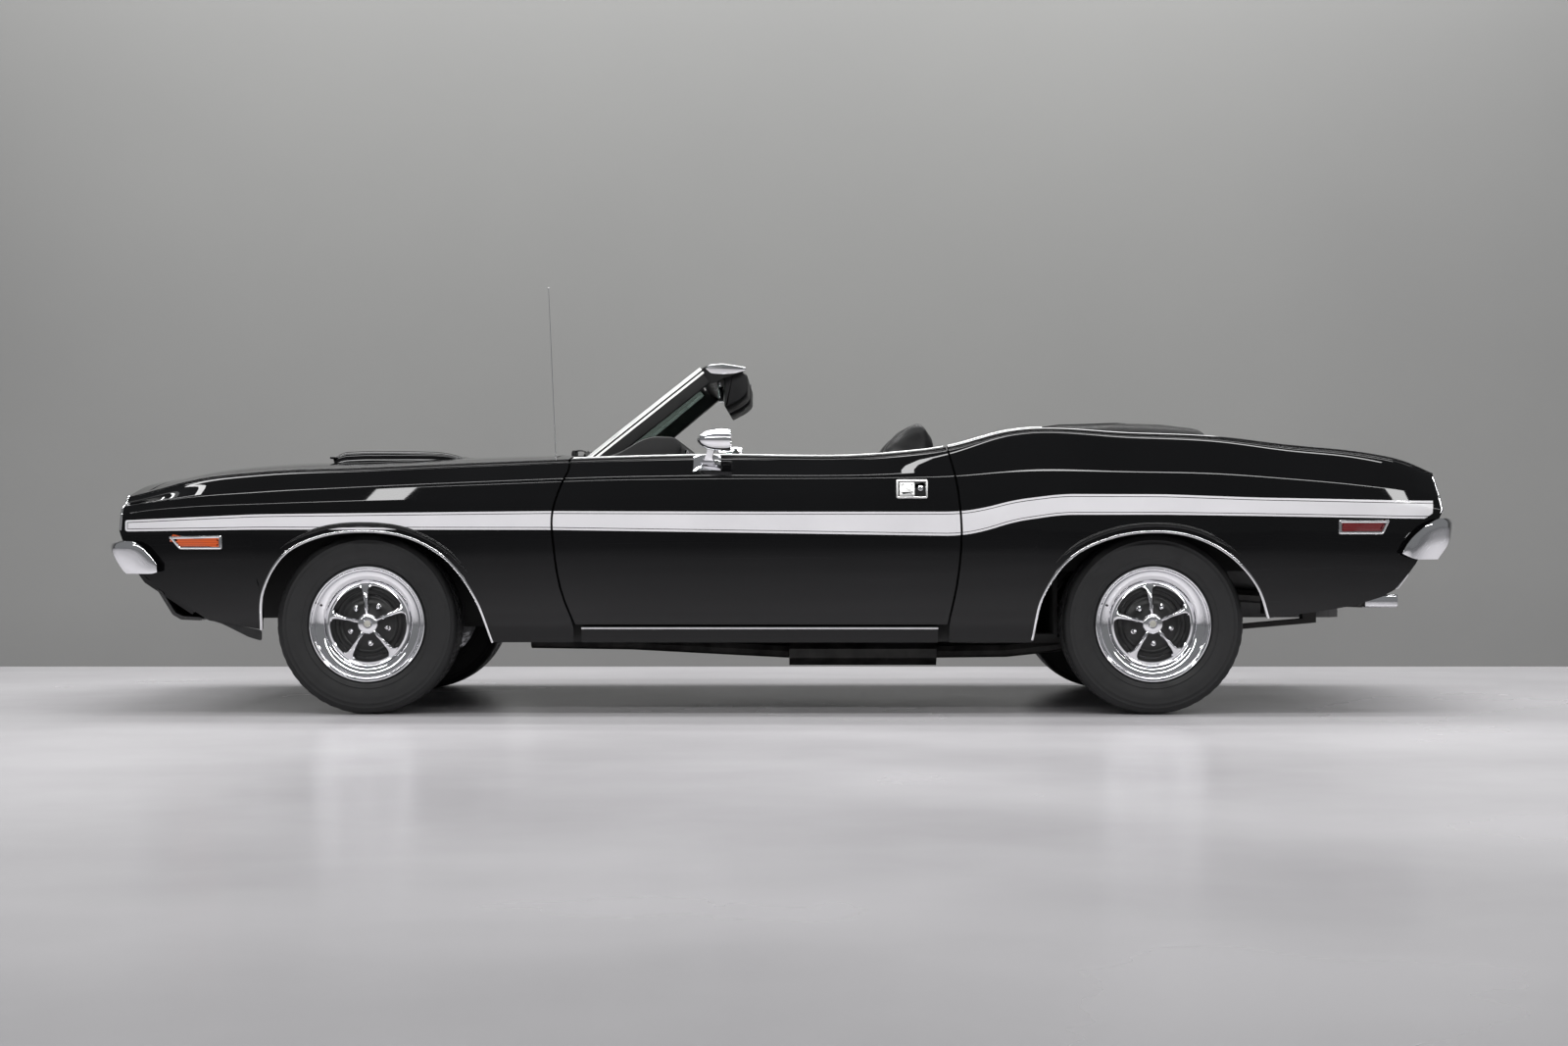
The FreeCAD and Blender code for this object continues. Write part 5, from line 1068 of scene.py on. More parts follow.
# Front face: a slatted grille recessed between paired round lamps, over a painted steel valance.
# A flexible chin spoiler is bolted below it, with a flat rubber shield ahead of each wheel.
valance_line = ((-0.803, 0.598), (-0.800, 0.505), (-0.783, 0.484), (-0.716, 0.440), (-0.612, 0.368),
                (-0.619, 0.355), (-0.724, 0.425), (-0.790, 0.468), (-0.812, 0.497), (-0.812, 0.598))
spoiler_line = ((-0.748, 0.448), (-0.692, 0.354), (-0.662, 0.337), (-0.592, 0.334), (-0.588, 0.345),
                (-0.655, 0.349), (-0.682, 0.362), (-0.726, 0.436))
lamp_panel_line = ((-0.815, 0.600), (-0.815, 0.728), (-0.803, 0.728), (-0.803, 0.600))
splash_line = ((-0.560, 0.338), (-0.511, 0.323), (-0.417, 0.276), (-0.371, 0.262), (-0.371, 0.300))
grille_front, slat_count, slat_foot, slat_pitch = front_axle - 0.840, 9, 0.612, 0.0138
upright_count, upright_side, upright_pitch = 25, 0.492, 0.041
grille_frame = (((0.0, -0.502, 0.602), (0.024, 0.502, 0.607)), ((0.0, -0.502, 0.724), (0.024, 0.502, 0.729)),
                ((0.0, -0.506, 0.602), (0.024, -0.500, 0.729)), ((0.0, 0.500, 0.602), (0.024, 0.506, 0.729)))
spoiler_black = mottled("spoiler_plastic", (0.012, 0.012, 0.0125), (0.019, 0.019, 0.0195), 30.0, 0.36, 0.2)


def across_body(name, line, axle, finish, radius=0.004, stands_for=None, inset=0.0145):
    """A bent sheet from side to side: a side-view outline that runs out to the panels' inner faces."""
    line = rounded_outline(shifted(line, axle), radius)
    reach = skin_at(line[:, 0], number_at_height(line[:, 0], line[:, 1]))[:, 1] - inset
    sections = [np.stack((line[:, 0], share * reach, line[:, 1]), 1) for share in np.linspace(-1, 1, 41)]
    return fitted(loft(name, sections, finish), stands_for=stands_for)


def sideways(name, outline, ends, finish, smooth=True):
    """A moulding across the car: a side-view outline at each end or station of (y, inset)."""
    return loft(name, [[(x, y, z) for x, z in outline_offset(outline, inset)] for y, inset in ends], finish,
                smooth=smooth)


across_body("valance_skin", valance_line, front_axle, gloss_black, stands_for="front_valance")
across_body("chin_spoiler", spoiler_line, front_axle, spoiler_black, 0.006)
across_body("lamp_panel", lamp_panel_line, front_axle, satin_black, 0.002, "grille")
splash = rounded_outline(shifted(splash_line, front_axle), 0.010)
for side, tag in sides:
    fitted(sideways("splash_shield_" + tag, splash, ((side * 0.868, 0), (side * 0.874, 0)), spoiler_black, False))
for z in slat_foot + np.arange(slat_count) * slat_pitch:
    bevelled_box("grille_slat", (grille_front + 0.002, -0.496, z - 0.0012),
                 (grille_front + 0.022, 0.496, z + 0.0012), satin_black, 0.0008)
for y in np.arange(upright_count) * upright_pitch - upright_side:
    bevelled_box("grille_upright", (grille_front + 0.006, y - 0.0012, 0.608),
                 (grille_front + 0.018, y + 0.0012, 0.726), satin_black, 0.0008)
for low, high in grille_frame:
    bevelled_box("grille_surround", low + np.array((grille_front, 0, 0)), high + np.array((grille_front, 0, 0)),
                 bright_steel, 0.0015)

# Headlamps: two sealed round lamps on each side, each a bulb in a silvered bowl behind a ribbed glass.
# A plated bezel holds each in the lamp panel.
bezel_rings = ((0.0555, 0.022), (0.0720, 0.022), (0.0720, 0.004), (0.0705, -0.002), (0.0670, -0.005),
               (0.0625, -0.0045), (0.0595, -0.001), (0.0580, 0.006), (0.0555, 0.010))
bowl_rings = ((0.0005, 0.028), (0.0160, 0.0275), (0.0340, 0.024), (0.0480, 0.017), (0.0555, 0.009),
              (0.0565, 0.012), (0.0490, 0.021), (0.0345, 0.0285), (0.0160, 0.0315), (0.0005, 0.032))
lens_rings = ((0.0005, -0.0070), (0.0150, -0.0064), (0.0300, -0.0044), (0.0440, -0.0008), (0.0530, 0.0034),
              (0.0560, 0.0066), (0.0560, 0.0090), (0.0530, 0.0064), (0.0440, 0.0024), (0.0300, -0.0012),
              (0.0150, -0.0032), (0.0005, -0.0038))
bulb_rings = ((0.0005, 0.004), (0.0060, 0.006), (0.0085, 0.012), (0.0085, 0.028), (0.0005, 0.028))
lamp_x, lamp_z, lamp_places = front_axle - 0.838, 0.667, (-0.735, -0.585, 0.585, 0.735)


def clear_glass(name, tint, roughness, group, values):
    """A clear glass with a faint relief out of one of the groups."""
    made = material(name, tint, roughness, Transmission_Weight=1.0, IOR=1.46)
    return with_effect(made, group, ("Normal",), values)


ribbed_glass = clear_glass("headlamp_glass", (0.93, 0.95, 0.96), 0.03, ribs_group,
                           {"Ribs": 34.0, "Ripple": 0.0, "Relief": 0.5, "Turn": (math.pi / 2, 0, 0)})
for number, y in enumerate(lamp_places):
    at = np.array((lamp_x, y, lamp_z))
    bezel = [[at + (d, r * math.cos(t), r * math.sin(t)) for r, d in bezel_rings] for t in turns(48)]
    fitted(loft("lamp_bezel_%d" % number, bezel, chrome, closed=True))
    fitted(turned_along("lamp_bowl_%d" % number, bowl_rings, chrome, at, (1, 0, 0), 40))
    fitted(turned_along("lamp_bulb_%d" % number, bulb_rings, silvered, at, (1, 0, 0), 20))
    fitted(turned_along("lamp_lens_%d" % number, lens_rings, ribbed_glass, at, (1, 0, 0), 48),
           stands_for="headlamps" if number == 0 else None)

# Tail: a satin black steel panel between the quarter panels, with a wide ribbed red lamp on each side in
# a plated frame. Bright strips edge the panels at both ends, and a plated leaf guards each rear corner.
tail_line = ((0.9985, 0.838), (1.0130, 0.724), (0.9160, 0.540), (0.8420, 0.440), (0.8290, 0.446),
             (0.9030, 0.548), (0.9980, 0.726), (0.9845, 0.836))
lamp_frame_levels = ((-0.006, -0.001), (-0.006, 0.008), (-0.004, 0.0115), (0.000, 0.0120), (0.002, 0.009),
                     (0.002, 0.001))
lamp_lens_levels = ((0.0022, 0.0005), (0.0024, 0.0075), (0.006, 0.0100), (0.016, 0.0112), (0.028, 0.0114))
leaf_line = ((0.902, 0.556), (0.926, 0.556), (0.903, 0.492), (0.868, 0.446), (0.850, 0.446), (0.880, 0.496))
leaf_ends = ((0.780, 0.0), (0.872, 0.0), (0.876, 0.0015), (0.878, 0.004))
across_body("tail_skin", tail_line, rear_axle, satin_black, 0.003, "tail_panel")


def tail_rings(outline, levels, side):
    """An outline across the tail at each level (inset, how far out of the panel's rear face)."""
    return [[(rear_axle + np.interp(z, (0.724, 0.838), (1.0130, 0.9985)) + out, side * y, z)
             for y, z in outline_offset(outline, inset)] for inset, out in levels]


lamp_outline = box_outline((0.135, 0.746), (0.785, 0.809), 0.014)
for side, tag in sides:
    surround = np.swapaxes(tail_rings(lamp_outline, lamp_frame_levels, side), 0, 1)
    fitted(loft("tail_lamp_frame_" + tag, surround, chrome, closed=True))
    fitted(loft("tail_lamp_lens_" + tag, tail_rings(lamp_outline, lamp_lens_levels, side), red_lens),
           stands_for="tail_lamps" if side < 0 else None)
for name, edge, back, z in (("tail_edge", quarter_tail, -0.0035, np.linspace(0.716, 0.842, 30)),
                            ("nose_edge", fender_nose, 0.0035, np.linspace(0.655, 0.775, 24))):
    x = edge(z) + back
    trim(name, x, number_at_height(x, z), sill_profile, bright_steel)
leaf = rounded_outline(shifted(leaf_line, rear_axle), 0.006)
for side, tag in sides:
    fitted(sideways("bumper_leaf_" + tag, leaf, [(side * y, inset) for y, inset in leaf_ends], chrome))

# Windshield: laminated tinted glass, bowed between black steel posts faced with bright strips.
# A padded header across the top is bolted to the posts.
screen_low, screen_high = np.array((front_axle + 0.648, 0, 0.874)), np.array((front_axle + 1.168, 0, 1.280))
screen_length = float(np.linalg.norm(screen_high - screen_low))
screen_slope = (screen_high - screen_low) / screen_length
screen_outward = np.array((-screen_slope[2], 0, screen_slope[0]))
screen_foot_half, screen_narrowing, screen_bow = 0.735, 0.120, 0.045
post_outline = rounded_outline([(0.0, 0.0), (0.034, 0.0), (0.034, 0.066), (0.0, 0.066)], 0.007)
rail_outline = rounded_outline([(0.030, 0.0), (0.096, 0.0), (0.096, 0.066), (0.030, 0.066)], 0.006)
header_line = ((1.146, -0.042), (1.158, -0.014), (1.190, 0.002), (1.235, 0.006), (1.285, -0.001),
               (1.322, -0.008), (1.318, -0.022), (1.240, -0.046), (1.200, -0.068))
cap_line = ((1.172, -0.010), (1.190, 0.004), (1.235, 0.0082), (1.285, 0.0012), (1.3255, -0.0062),
            (1.322, -0.020), (1.280, -0.031), (1.236, -0.034), (1.196, -0.030))
cap_ends = ((0.572, 0.0), (0.598, 0.0), (0.6025, 0.0015), (0.6045, 0.0050))
outer_strips = [[(0.0010, near), (-0.0022, near + 0.0004), (-0.0052, far - 0.0022), (-0.0052, far), (0.0010, far)]
                for near, far in ((0.0005, 0.0085), (0.0150, 0.0225))]
face_strip = [(-0.0036, -0.0030), (0.010, -0.0032), (0.012, 0.0008), (-0.0036, 0.0008)]
inner_strip = [(0.026, -0.0026), (0.0335, -0.0028), (0.0345, 0.0100), (0.0330, 0.0100)]
top_reveal = ((screen_length - 0.060, -0.0026), (screen_length - 0.052, -0.0030),
              (screen_length - 0.044, -0.0008), (screen_length - 0.062, 0.0100))
foot_reveal = ((0.088, -0.0010), (0.094, -0.0030), (0.0985, -0.0020), (0.0985, 0.0100))
glass_inset, glass_face, glass_back = 0.031, 0.012, 0.018


def screen_half(along):
    """Half the screen's width, some way up it."""
    return screen_foot_half - screen_narrowing * along / screen_length


def screen_spot(along, y, depth):
    """A place on the bowed screen: metres up it, across it and behind its face."""
    return (screen_low + screen_slope * along + np.array((0, 1, 0)) * y
            - screen_outward * (screen_bow * (y / screen_foot_half) ** 2 + depth))


def up_post(name, side, outline, start, end, count, finish):
    """A piece up one post: an outline of (inward of the screen's edge, depth) between two lengths."""
    return loft(name, [[screen_spot(along, side * (screen_half(along) - inward), depth)
                        for inward, depth in outline] for along in np.linspace(start, end, count)], finish)


def across_screen(name, outline, half, finish):
    """A piece across the screen: an outline of (metres up it, depth) over a half width."""
    return loft(name, [[screen_spot(along, y, depth) for along, depth in outline]
                       for y in np.linspace(-half, half, 31)], finish)


def header_section(outline, y):
    """A section of the header, which follows the screen's bow."""
    drop = -screen_outward * screen_bow * (y / screen_foot_half) ** 2
    return [(x + drop[0], y, z + drop[2]) for x, z in outline]


def from_header(line, radius, steps=5):
    """A rounded outline from corners measured from the front axle and the screen's top."""
    return rounded_outline([(front_axle + x, screen_high[2] + z) for x, z in line], radius, steps)


frame_parts = [up_post("screen_post", side, post_outline, 0.020, screen_length - 0.020, 16, satin_black)
               for side, _ in sides]
frame_parts.append(across_screen("screen_foot_rail", rail_outline, 0.712, satin_black))
frame_parts.append(loft("screen_header", [header_section(from_header(header_line, 0.012, 4), y)
                                          for y in np.linspace(-0.600, 0.600, 31)], satin_black))
fitted(joined("windshield_frame_skin", frame_parts), stands_for="windshield_frame")
cap_outline = from_header(cap_line, 0.006, 4)
for side, tag in sides:
    sections = [header_section(outline_offset(cap_outline, inset), side * y) for y, inset in cap_ends]
    fitted(loft("header_cap_" + tag, sections, bright_steel))
    strips = [up_post("post_strip", side, strip, 0.040, screen_length - 0.014, 24, satin_steel)
              for strip in (*outer_strips, face_strip)]
    strips.append(up_post("post_strip", side, inner_strip, 0.092, screen_length - 0.060, 24, satin_steel))
    fitted(joined("post_mouldings_" + tag, strips))
fitted(joined("screen_reveals", [across_screen("screen_reveal", strip, screen_half(strip[0][0]) - 0.030, chrome)
                                 for strip in (top_reveal, foot_reveal)]))

tinted_glass = clear_glass("tinted_glass", (0.58, 0.74, 0.67), 0.01, surface_group,
                           {"Grain Scale": 3.0, "Grain": 0.02})
pane_up = np.linspace(0.092, screen_length - 0.056, 20)
pane_section = [(a, glass_face) for a in pane_up] + [(a, glass_back) for a in pane_up[::-1]]
pane = loft("windshield_pane", [[screen_spot(along, share * (screen_half(along) - glass_inset), depth)
                                 for along, depth in pane_section] for share in np.linspace(-1, 1, 41)], tinted_glass)
fitted(pane, stands_for="windshield_glass")

# Visors and cabin mirror: a pair of padded folding visors hung under the header, covered in vinyl.
# The silvered glass between them sits in a plated case on a short stalk.
visor_vinyl = mottled("visor_vinyl", (0.006, 0.006, 0.0065), (0.011, 0.011, 0.0115), 18.0, 0.46, 0.3, 0.0, 700.0,
                      Specular_IOR_Level=0.35)
visor_line = ((1.258, -0.034), (1.310, -0.034), (1.348, -0.054), (1.348, -0.124), (1.322, -0.148),
              (1.268, -0.176), (1.262, -0.168), (1.262, -0.120))
visor_ends = ((0.080, 0.010), (0.082, 0.004), (0.090, 0.0), (0.550, 0.0), (0.558, 0.004), (0.560, 0.010))
cabin_mirror_x, case_outline = front_axle + 1.226, box_outline((-0.115, 1.150), (0.115, 1.206), 0.016)
case_levels = ((0.000, 0.008), (0.001, 0.003), (0.005, 0.0), (0.017, 0.0), (0.020, 0.002), (0.020, 0.0045),
               (0.0185, 0.005))
stalk_rings = ((0.009, 0.0), (0.006, 0.006), (0.0055, 0.040), (0.010, 0.052))
visor_outline = from_header(visor_line, 0.014)
for side, tag in sides:
    fitted(sideways("visor_" + tag, visor_outline, [(side * y, inset) for y, inset in visor_ends], visor_vinyl))
for name, levels, finish in (("case", case_levels, chrome), ("pane", ((0.0184, 0.0048), (0.0192, 0.0048)), silvered)):
    fitted(loft("cabin_mirror_" + name, [[(cabin_mirror_x + d, y, z) for y, z in outline_offset(case_outline, inset)]
                                         for d, inset in levels], finish))
fitted(turned_along("cabin_mirror_stalk", stalk_rings, chrome, (cabin_mirror_x + 0.006, 0, 1.192),
                    (-0.18, 0, 1), 20))

# Wipers: a pair of sprung steel arms parked along the glass's foot, with rubber blades.
# Each turns on a hub that passes up through the cowl.
wiper_spans = (("left", -0.640, -0.230, -0.330), ("right", -0.060, 0.350, 0.250))
blade_up, wiper_foot_x = 0.118, front_axle + 0.694
blade_section = ((-0.004, -0.007), (0.004, -0.007), (0.0035, -0.013), (-0.0035, -0.013))
rubber_section = ((-0.0015, 0.011), (0.0015, 0.011), (0.002, -0.007), (-0.002, -0.007))
wiper_hub_rings = ((0.0005, 0.020), (0.009, 0.019), (0.012, 0.014), (0.013, 0.0))
for tag, start, end, pivot in wiper_spans:
    hub_at = np.array((wiper_foot_x, pivot, float(top_height(wiper_foot_x, abs(pivot))) - 0.002))
    middle_at = screen_spot(blade_up, (start + end) / 2, -0.015)
    arm_line = rounded_line([hub_at + (0, 0, 0.016), hub_at + (0.02, (middle_at[1] - pivot) * 0.3, 0.018),
                             middle_at], 12)
    arm = [[p + (dx, 0, dz) for dx, dz in ((-w, 0), (0, 0.003), (w, 0), (0, -0.003))]
           for p, w in zip(arm_line, np.linspace(0.007, 0.004, 12))]
    pieces = [loft(name, [[screen_spot(blade_up + up, y, out) for up, out in section]
                          for y in np.linspace(start, end, 20)], satin_black)
              for name, section in (("blade", blade_section), ("rubber", rubber_section))]
    pieces += [loft("arm", arm, satin_black),
               turned_along("hub", wiper_hub_rings, satin_black, hub_at, (0, 0, 1), 20)]
    fitted(joined("wiper_" + tag, pieces))

# Folding-top boot: a fitted vinyl cover snapped round the well behind the seats, plump over the folded top.
# Its seams are piped, and its edges roll down to a row of bright snap studs.
boot_low, boot_reach, well_reach, roll_width, boot_spacing = 0.9393, 0.764, 0.612, 0.036, 0.016
boot_front, boot_back, well_back = front_axle + 2.326, front_axle + 3.016, front_axle + 2.690
boot_rise = ((2.326, 0.060), (2.370, 0.0787), (2.480, 0.0927), (2.650, 0.0987), (2.850, 0.0947), (2.970, 0.082),
             (3.016, 0.066))
boot_crown = ((0.0, 1.17), (0.4, 1.15), (0.6, 1.11), (0.86, 1.04), (0.96, 0.92), (1.0, 0.75))
edge_steps = np.array((0.0, 0.001, 0.004, 0.009, 0.016, 0.025, roll_width))
seam_radius, seam_lift, seam_side = 0.0028, 0.0005, 0.34
snap_rings = ((0.0006, 0.0034), (0.0035, 0.0031), (0.0056, 0.0020), (0.0062, 0.0004), (0.0062, -0.0020))


def boot_top(x, y):
    """The boot's height at a place, rolled down to nothing at its edges."""
    x, y = np.asarray(x, float), np.abs(np.asarray(y, float))
    rise = np.interp(x - front_axle, *zip(*boot_rise)) * np.interp(y / boot_reach, *zip(*boot_crown))
    to_well = np.hypot(np.maximum(x - well_back, 0), np.maximum(y - well_reach, 0))
    to_front = np.where(y >= well_reach, x - boot_front, 1.0)
    room = np.minimum.reduce([to_well, to_front, boot_back - x, boot_reach - y])
    roll = np.sqrt(np.clip(1 - (1 - np.clip(room / roll_width, 0, 1)) ** 2, 0, 1))
    fold = (0.0015 * np.sin(21 * x + 9 * y) * np.sin(7 * y + 2.0)
            + 0.0011 * np.sin(46 * y - 12 * x) * np.sin(5 * x + 1.0))
    return boot_low + (rise + fold) * roll


def boot_lines(marks):
    """Grid lines close together beside each edge and even between them."""
    lines = set()
    for low, high in zip(marks, marks[1:]):
        lines |= {low + d for d in edge_steps} | {high - d for d in edge_steps}
        lines |= set(np.linspace(low + edge_steps[-1], high - edge_steps[-1],
                                 max(2, round((high - low) / boot_spacing))))
    return np.array(sorted(lines))


def tube(name, path, radius, finish, count=8):
    """A round cord along a path."""
    path = np.array(path, float)
    ahead = np.gradient(path, axis=0)
    ahead /= np.linalg.norm(ahead, axis=1, keepdims=True)
    side = np.cross(ahead, (0.02, 0.03, 1.0))
    side /= np.linalg.norm(side, axis=1, keepdims=True)
    other = np.cross(side, ahead)
    return loft(name, [[p + radius * (a * math.cos(t) + b * math.sin(t)) for t in turns(count)]
                       for p, a, b in zip(path, side, other)], finish)


boot_vinyl = mottled("boot_vinyl", (0.0045, 0.0045, 0.005), (0.008, 0.008, 0.0085), 6.0, 0.42, 0.3, 0.0, 520.0,
                     Specular_IOR_Level=0.25)
xs = boot_lines((boot_front, well_back, boot_back))
ys = boot_lines((-boot_reach, -well_reach, well_reach, boot_reach))
grid_x, grid_y = np.meshgrid(xs, ys, indexing="ij")
points, faces, layer = [], [], grid_x.size
for z in (boot_top(grid_x, grid_y), np.full_like(grid_x, boot_low)):
    points += list(zip(grid_x.ravel(), grid_y.ravel(), z.ravel()))
for i in range(len(xs) - 1):
    for k in range(len(ys) - 1):
        if xs[i + 1] <= well_back + 1e-6 and abs(ys[k] + ys[k + 1]) / 2 < well_reach:
            continue
        a, b = i * len(ys) + k, (i + 1) * len(ys) + k
        faces += [(a, b, b + 1, a + 1), (a + layer, a + 1 + layer, b + 1 + layer, b + layer)]
boot = mesh_piece("boot_cover", points, faces, boot_vinyl)
work = bmesh.new()
work.from_mesh(boot.data)
bmesh.ops.delete(work, geom=[v for v in work.verts if not v.link_faces], context="VERTS")
bmesh.ops.remove_doubles(work, verts=work.verts, dist=1e-6)
work.to_mesh(boot.data)
work.free()

seam_x = np.linspace(well_back + 0.012, boot_back - 0.010, 40)
seam_paths = [[(x, y) for x in seam_x] for y in (-seam_side, seam_side)]
inner_rim = rounded_outline([(boot_front + 0.030, -0.660), (well_back + 0.045, -0.660),
                             (well_back + 0.045, 0.660), (boot_front + 0.030, 0.660)], 0.10, 9)
seam_paths.append(foot_line([(boot_front + 0.020, -0.664)] + [tuple(p) for p in inner_rim if p[0] > boot_front + 0.2]
                            + [(boot_front + 0.020, 0.664)], 150))
piping = [tube("seam", [(x, y, float(boot_top(x, y)) + seam_lift) for x, y in path], seam_radius, boot_vinyl)
          for path in seam_paths]
boot = joined("boot_cover", [boot] + piping)
fitted(boot, stands_for="top_boot")
snap_places = [(x, side * 0.7535) for x in np.arange(boot_front + 0.06, boot_back - 0.02, 0.125) for side, _ in sides]
snap_places += [(boot_back - 0.0105, y) for y in np.arange(-0.66, 0.67, 0.132)]
fitted(joined("boot_snaps", [turned_along("snap", snap_rings, bright_steel, (x, y, float(boot_top(x, y))),
                                          (0, 0, 1), 16) for x, y in snap_places]))

# Seats: foam cushions under pleated black vinyl on sprung frames.
# A pair of high-backed buckets stands on steel runners in front, with a bench behind.
seat_vinyl = mottled("seat_vinyl", (0.006, 0.006, 0.0065), (0.011, 0.011, 0.0115), 9.0, 0.38, 0.25, 0.0, 600.0,
                     Specular_IOR_Level=0.4)
squab_line = ((1.445, 0.340), (1.430, 0.430), (1.475, 0.476), (1.640, 0.470), (1.782, 0.452), (1.790, 0.340))
back_line = ((1.786, 0.460), (1.804, 0.620), (1.827, 0.860), (1.872, 0.998), (1.932, 1.068), (1.988, 1.088),
             (2.024, 1.058), (2.033, 0.960), (1.997, 0.620), (1.962, 0.350), (1.810, 0.350))
back_taper = ((0.30, 0.98), (0.60, 1.0), (0.82, 0.96), (0.90, 0.78), (0.96, 0.60), (1.02, 0.55), (1.10, 0.50))
bench_line = ((2.182, 0.440), (2.172, 0.515), (2.206, 0.566), (2.525, 0.553), (2.470, 0.440))
bench_back_line = ((2.538, 0.560), (2.578, 0.700), (2.611, 0.920), (2.680, 0.920), (2.680, 0.545))
drawn_ends = ((-1, 0.030), (-0.985, 0.014), (-0.95, 0.005), (-0.85, 0), (-0.5, 0), (0, 0), (0.5, 0), (0.85, 0),
              (0.95, 0.005), (0.985, 0.014), (1, 0.030))
seat_middle, cushion_pressure, cloth_steps, channel_depth = 0.385, 4, 20, 0.006
hinge_rings = ((0.0006, 0.006), (0.020, 0.005), (0.026, 0.001), (0.026, -0.006))


def cushion_sections(corners, half, inset, taper=((0.0, 1.0), (2.0, 1.0))):
    """Sections across a cushion, drawn in towards its ends and narrowed with height by the taper."""
    line, sections = rounded_outline(corners, 0.035, 4), []
    for share, drawn in drawn_ends:
        ring = outline_offset(line, inset + drawn)
        reach = (half - inset) * np.interp(ring[:, 1], *zip(*taper))
        sections.append(np.stack((front_axle + ring[:, 0], share * reach, ring[:, 1]), 1))
    return sections


def evaluated(made):
    """A new mesh of a piece with its modifiers worked out."""
    return bpy.data.meshes.new_from_object(made.evaluated_get(bpy.context.evaluated_depsgraph_get()))


def stuffed(name, sections, voxel, cap):
    """A cushion swelled by pressure from a lofted start, each point moving no further than the cap."""
    made = loft(name, sections, seat_vinyl)
    bpy.context.view_layer.objects.active = made
    remesh = made.modifiers.new("remesh", "REMESH")
    remesh.mode, remesh.voxel_size = "VOXEL", voxel
    bpy.context.view_layer.update()
    shape = evaluated(made)
    made.modifiers.clear()
    made.data = shape
    rest = np.array([v.co[:] for v in shape.vertices])
    cloth = made.modifiers.new("swell", "CLOTH")
    cloth.settings.use_pressure = True
    cloth.settings.uniform_pressure_force = cushion_pressure
    cloth.settings.effector_weights.gravity = 0
    cloth.point_cache.frame_start, cloth.point_cache.frame_end = 1, cloth_steps
    for step in range(1, cloth_steps + 1):
        bpy.context.scene.frame_set(step)
    swelled = made.evaluated_get(bpy.context.evaluated_depsgraph_get()).data
    moved = np.array([v.co[:] for v in swelled.vertices]) - rest
    made.modifiers.clear()
    bpy.context.scene.frame_set(1)
    far = np.linalg.norm(moved, axis=1, keepdims=True)
    rest += moved * np.minimum(1, cap / np.maximum(far, 1e-9))
    shape.vertices.foreach_set("co", rest.ravel())
    finer = made.modifiers.new("finer", "SUBSURF")
    finer.levels = finer.render_levels = 1
    shape = evaluated(made)
    made.modifiers.clear()
    made.data = shape
    shape.materials.clear()
    shape.materials.append(seat_vinyl)
    shape.polygons.foreach_set("use_smooth", [True] * len(shape.polygons))
    return made


def sewn(made, places, facing, x_span, z_span, width):
    """Presses straight sewn channels into the face of a cushion that looks one way."""
    at = np.array([v.co[:] for v in made.data.vertices])
    normal = np.array([v.normal[:] for v in made.data.vertices])
    inside = ((at[:, 0] > x_span[0]) & (at[:, 0] < x_span[1]) & (at[:, 2] > z_span[0]) & (at[:, 2] < z_span[1])
              & (normal @ np.array(facing) > 0.3))
    press = np.max([np.where(inside, np.exp(-((at[:, 1] - y) / width) ** 2), 0) for y in places], axis=0)
    at -= normal * press[:, None] * channel_depth
    made.data.vertices.foreach_set("co", at.ravel())
    made.data.update()


seat_channels = np.arange(-0.13, 0.131, 0.052)
bench_channels = [y for m in (-0.30, 0.30) for y in np.arange(m - 0.18, m + 0.181, 0.060)]
squab = stuffed("seat_cushion_left", cushion_sections(squab_line, 0.235, 0.014), 0.012, 0.022)
sewn(squab, seat_channels, (0, 0, 1), (front_axle + 1.47, front_axle + 1.74), (0.3, 0.6), 0.006)
back = stuffed("seat_back_left", cushion_sections(back_line, 0.235, 0.014, back_taper), 0.012, 0.020)
sewn(back, seat_channels, (-1, 0, 0), (0, 9), (0.50, 0.86), 0.006)
for made, part in ((squab, "cushion"), (back, "back")):
    twin = new_object("seat_%s_right" % part, made.data.copy())
    for piece, (side, tag) in zip((made, twin), sides):
        at = np.array([v.co[:] for v in piece.data.vertices])
        at[:, 1] += side * seat_middle
        piece.data.vertices.foreach_set("co", at.ravel())
        piece.data.update()
        fitted(piece, stands_for="front_seats" if part == "cushion" and side < 0 else None)
for middle_y in (-seat_middle, seat_middle):
    for y in (-0.155, 0.155):
        bevelled_box("runner", (front_axle + 1.50, middle_y + y - 0.018, 0.2765),
                     (front_axle + 1.90, middle_y + y + 0.018, 0.330), bracket_steel, 0.004)
    for side, _ in sides:
        fitted(turned_along("seat_hinge", hinge_rings, chrome, (front_axle + 1.850, middle_y + side * 0.2335, 0.400),
                            (0, side, 0), 24))

bench = stuffed("rear_cushion", cushion_sections(bench_line, 0.600, 0.012), 0.016, 0.020)
sewn(bench, bench_channels, (0, 0, 1), (front_axle + 2.20, front_axle + 2.48), (0.4, 0.7), 0.008)
bench_back = stuffed("rear_back", cushion_sections(bench_back_line, 0.600, 0.010), 0.016, 0.014)
sewn(bench_back, bench_channels, (-1, 0, 0), (0, 9), (0.60, 0.86), 0.008)
for piece, stands_for in ((bench, "rear_seat"), (bench_back, None)):
    fitted(piece, stands_for=stands_for)

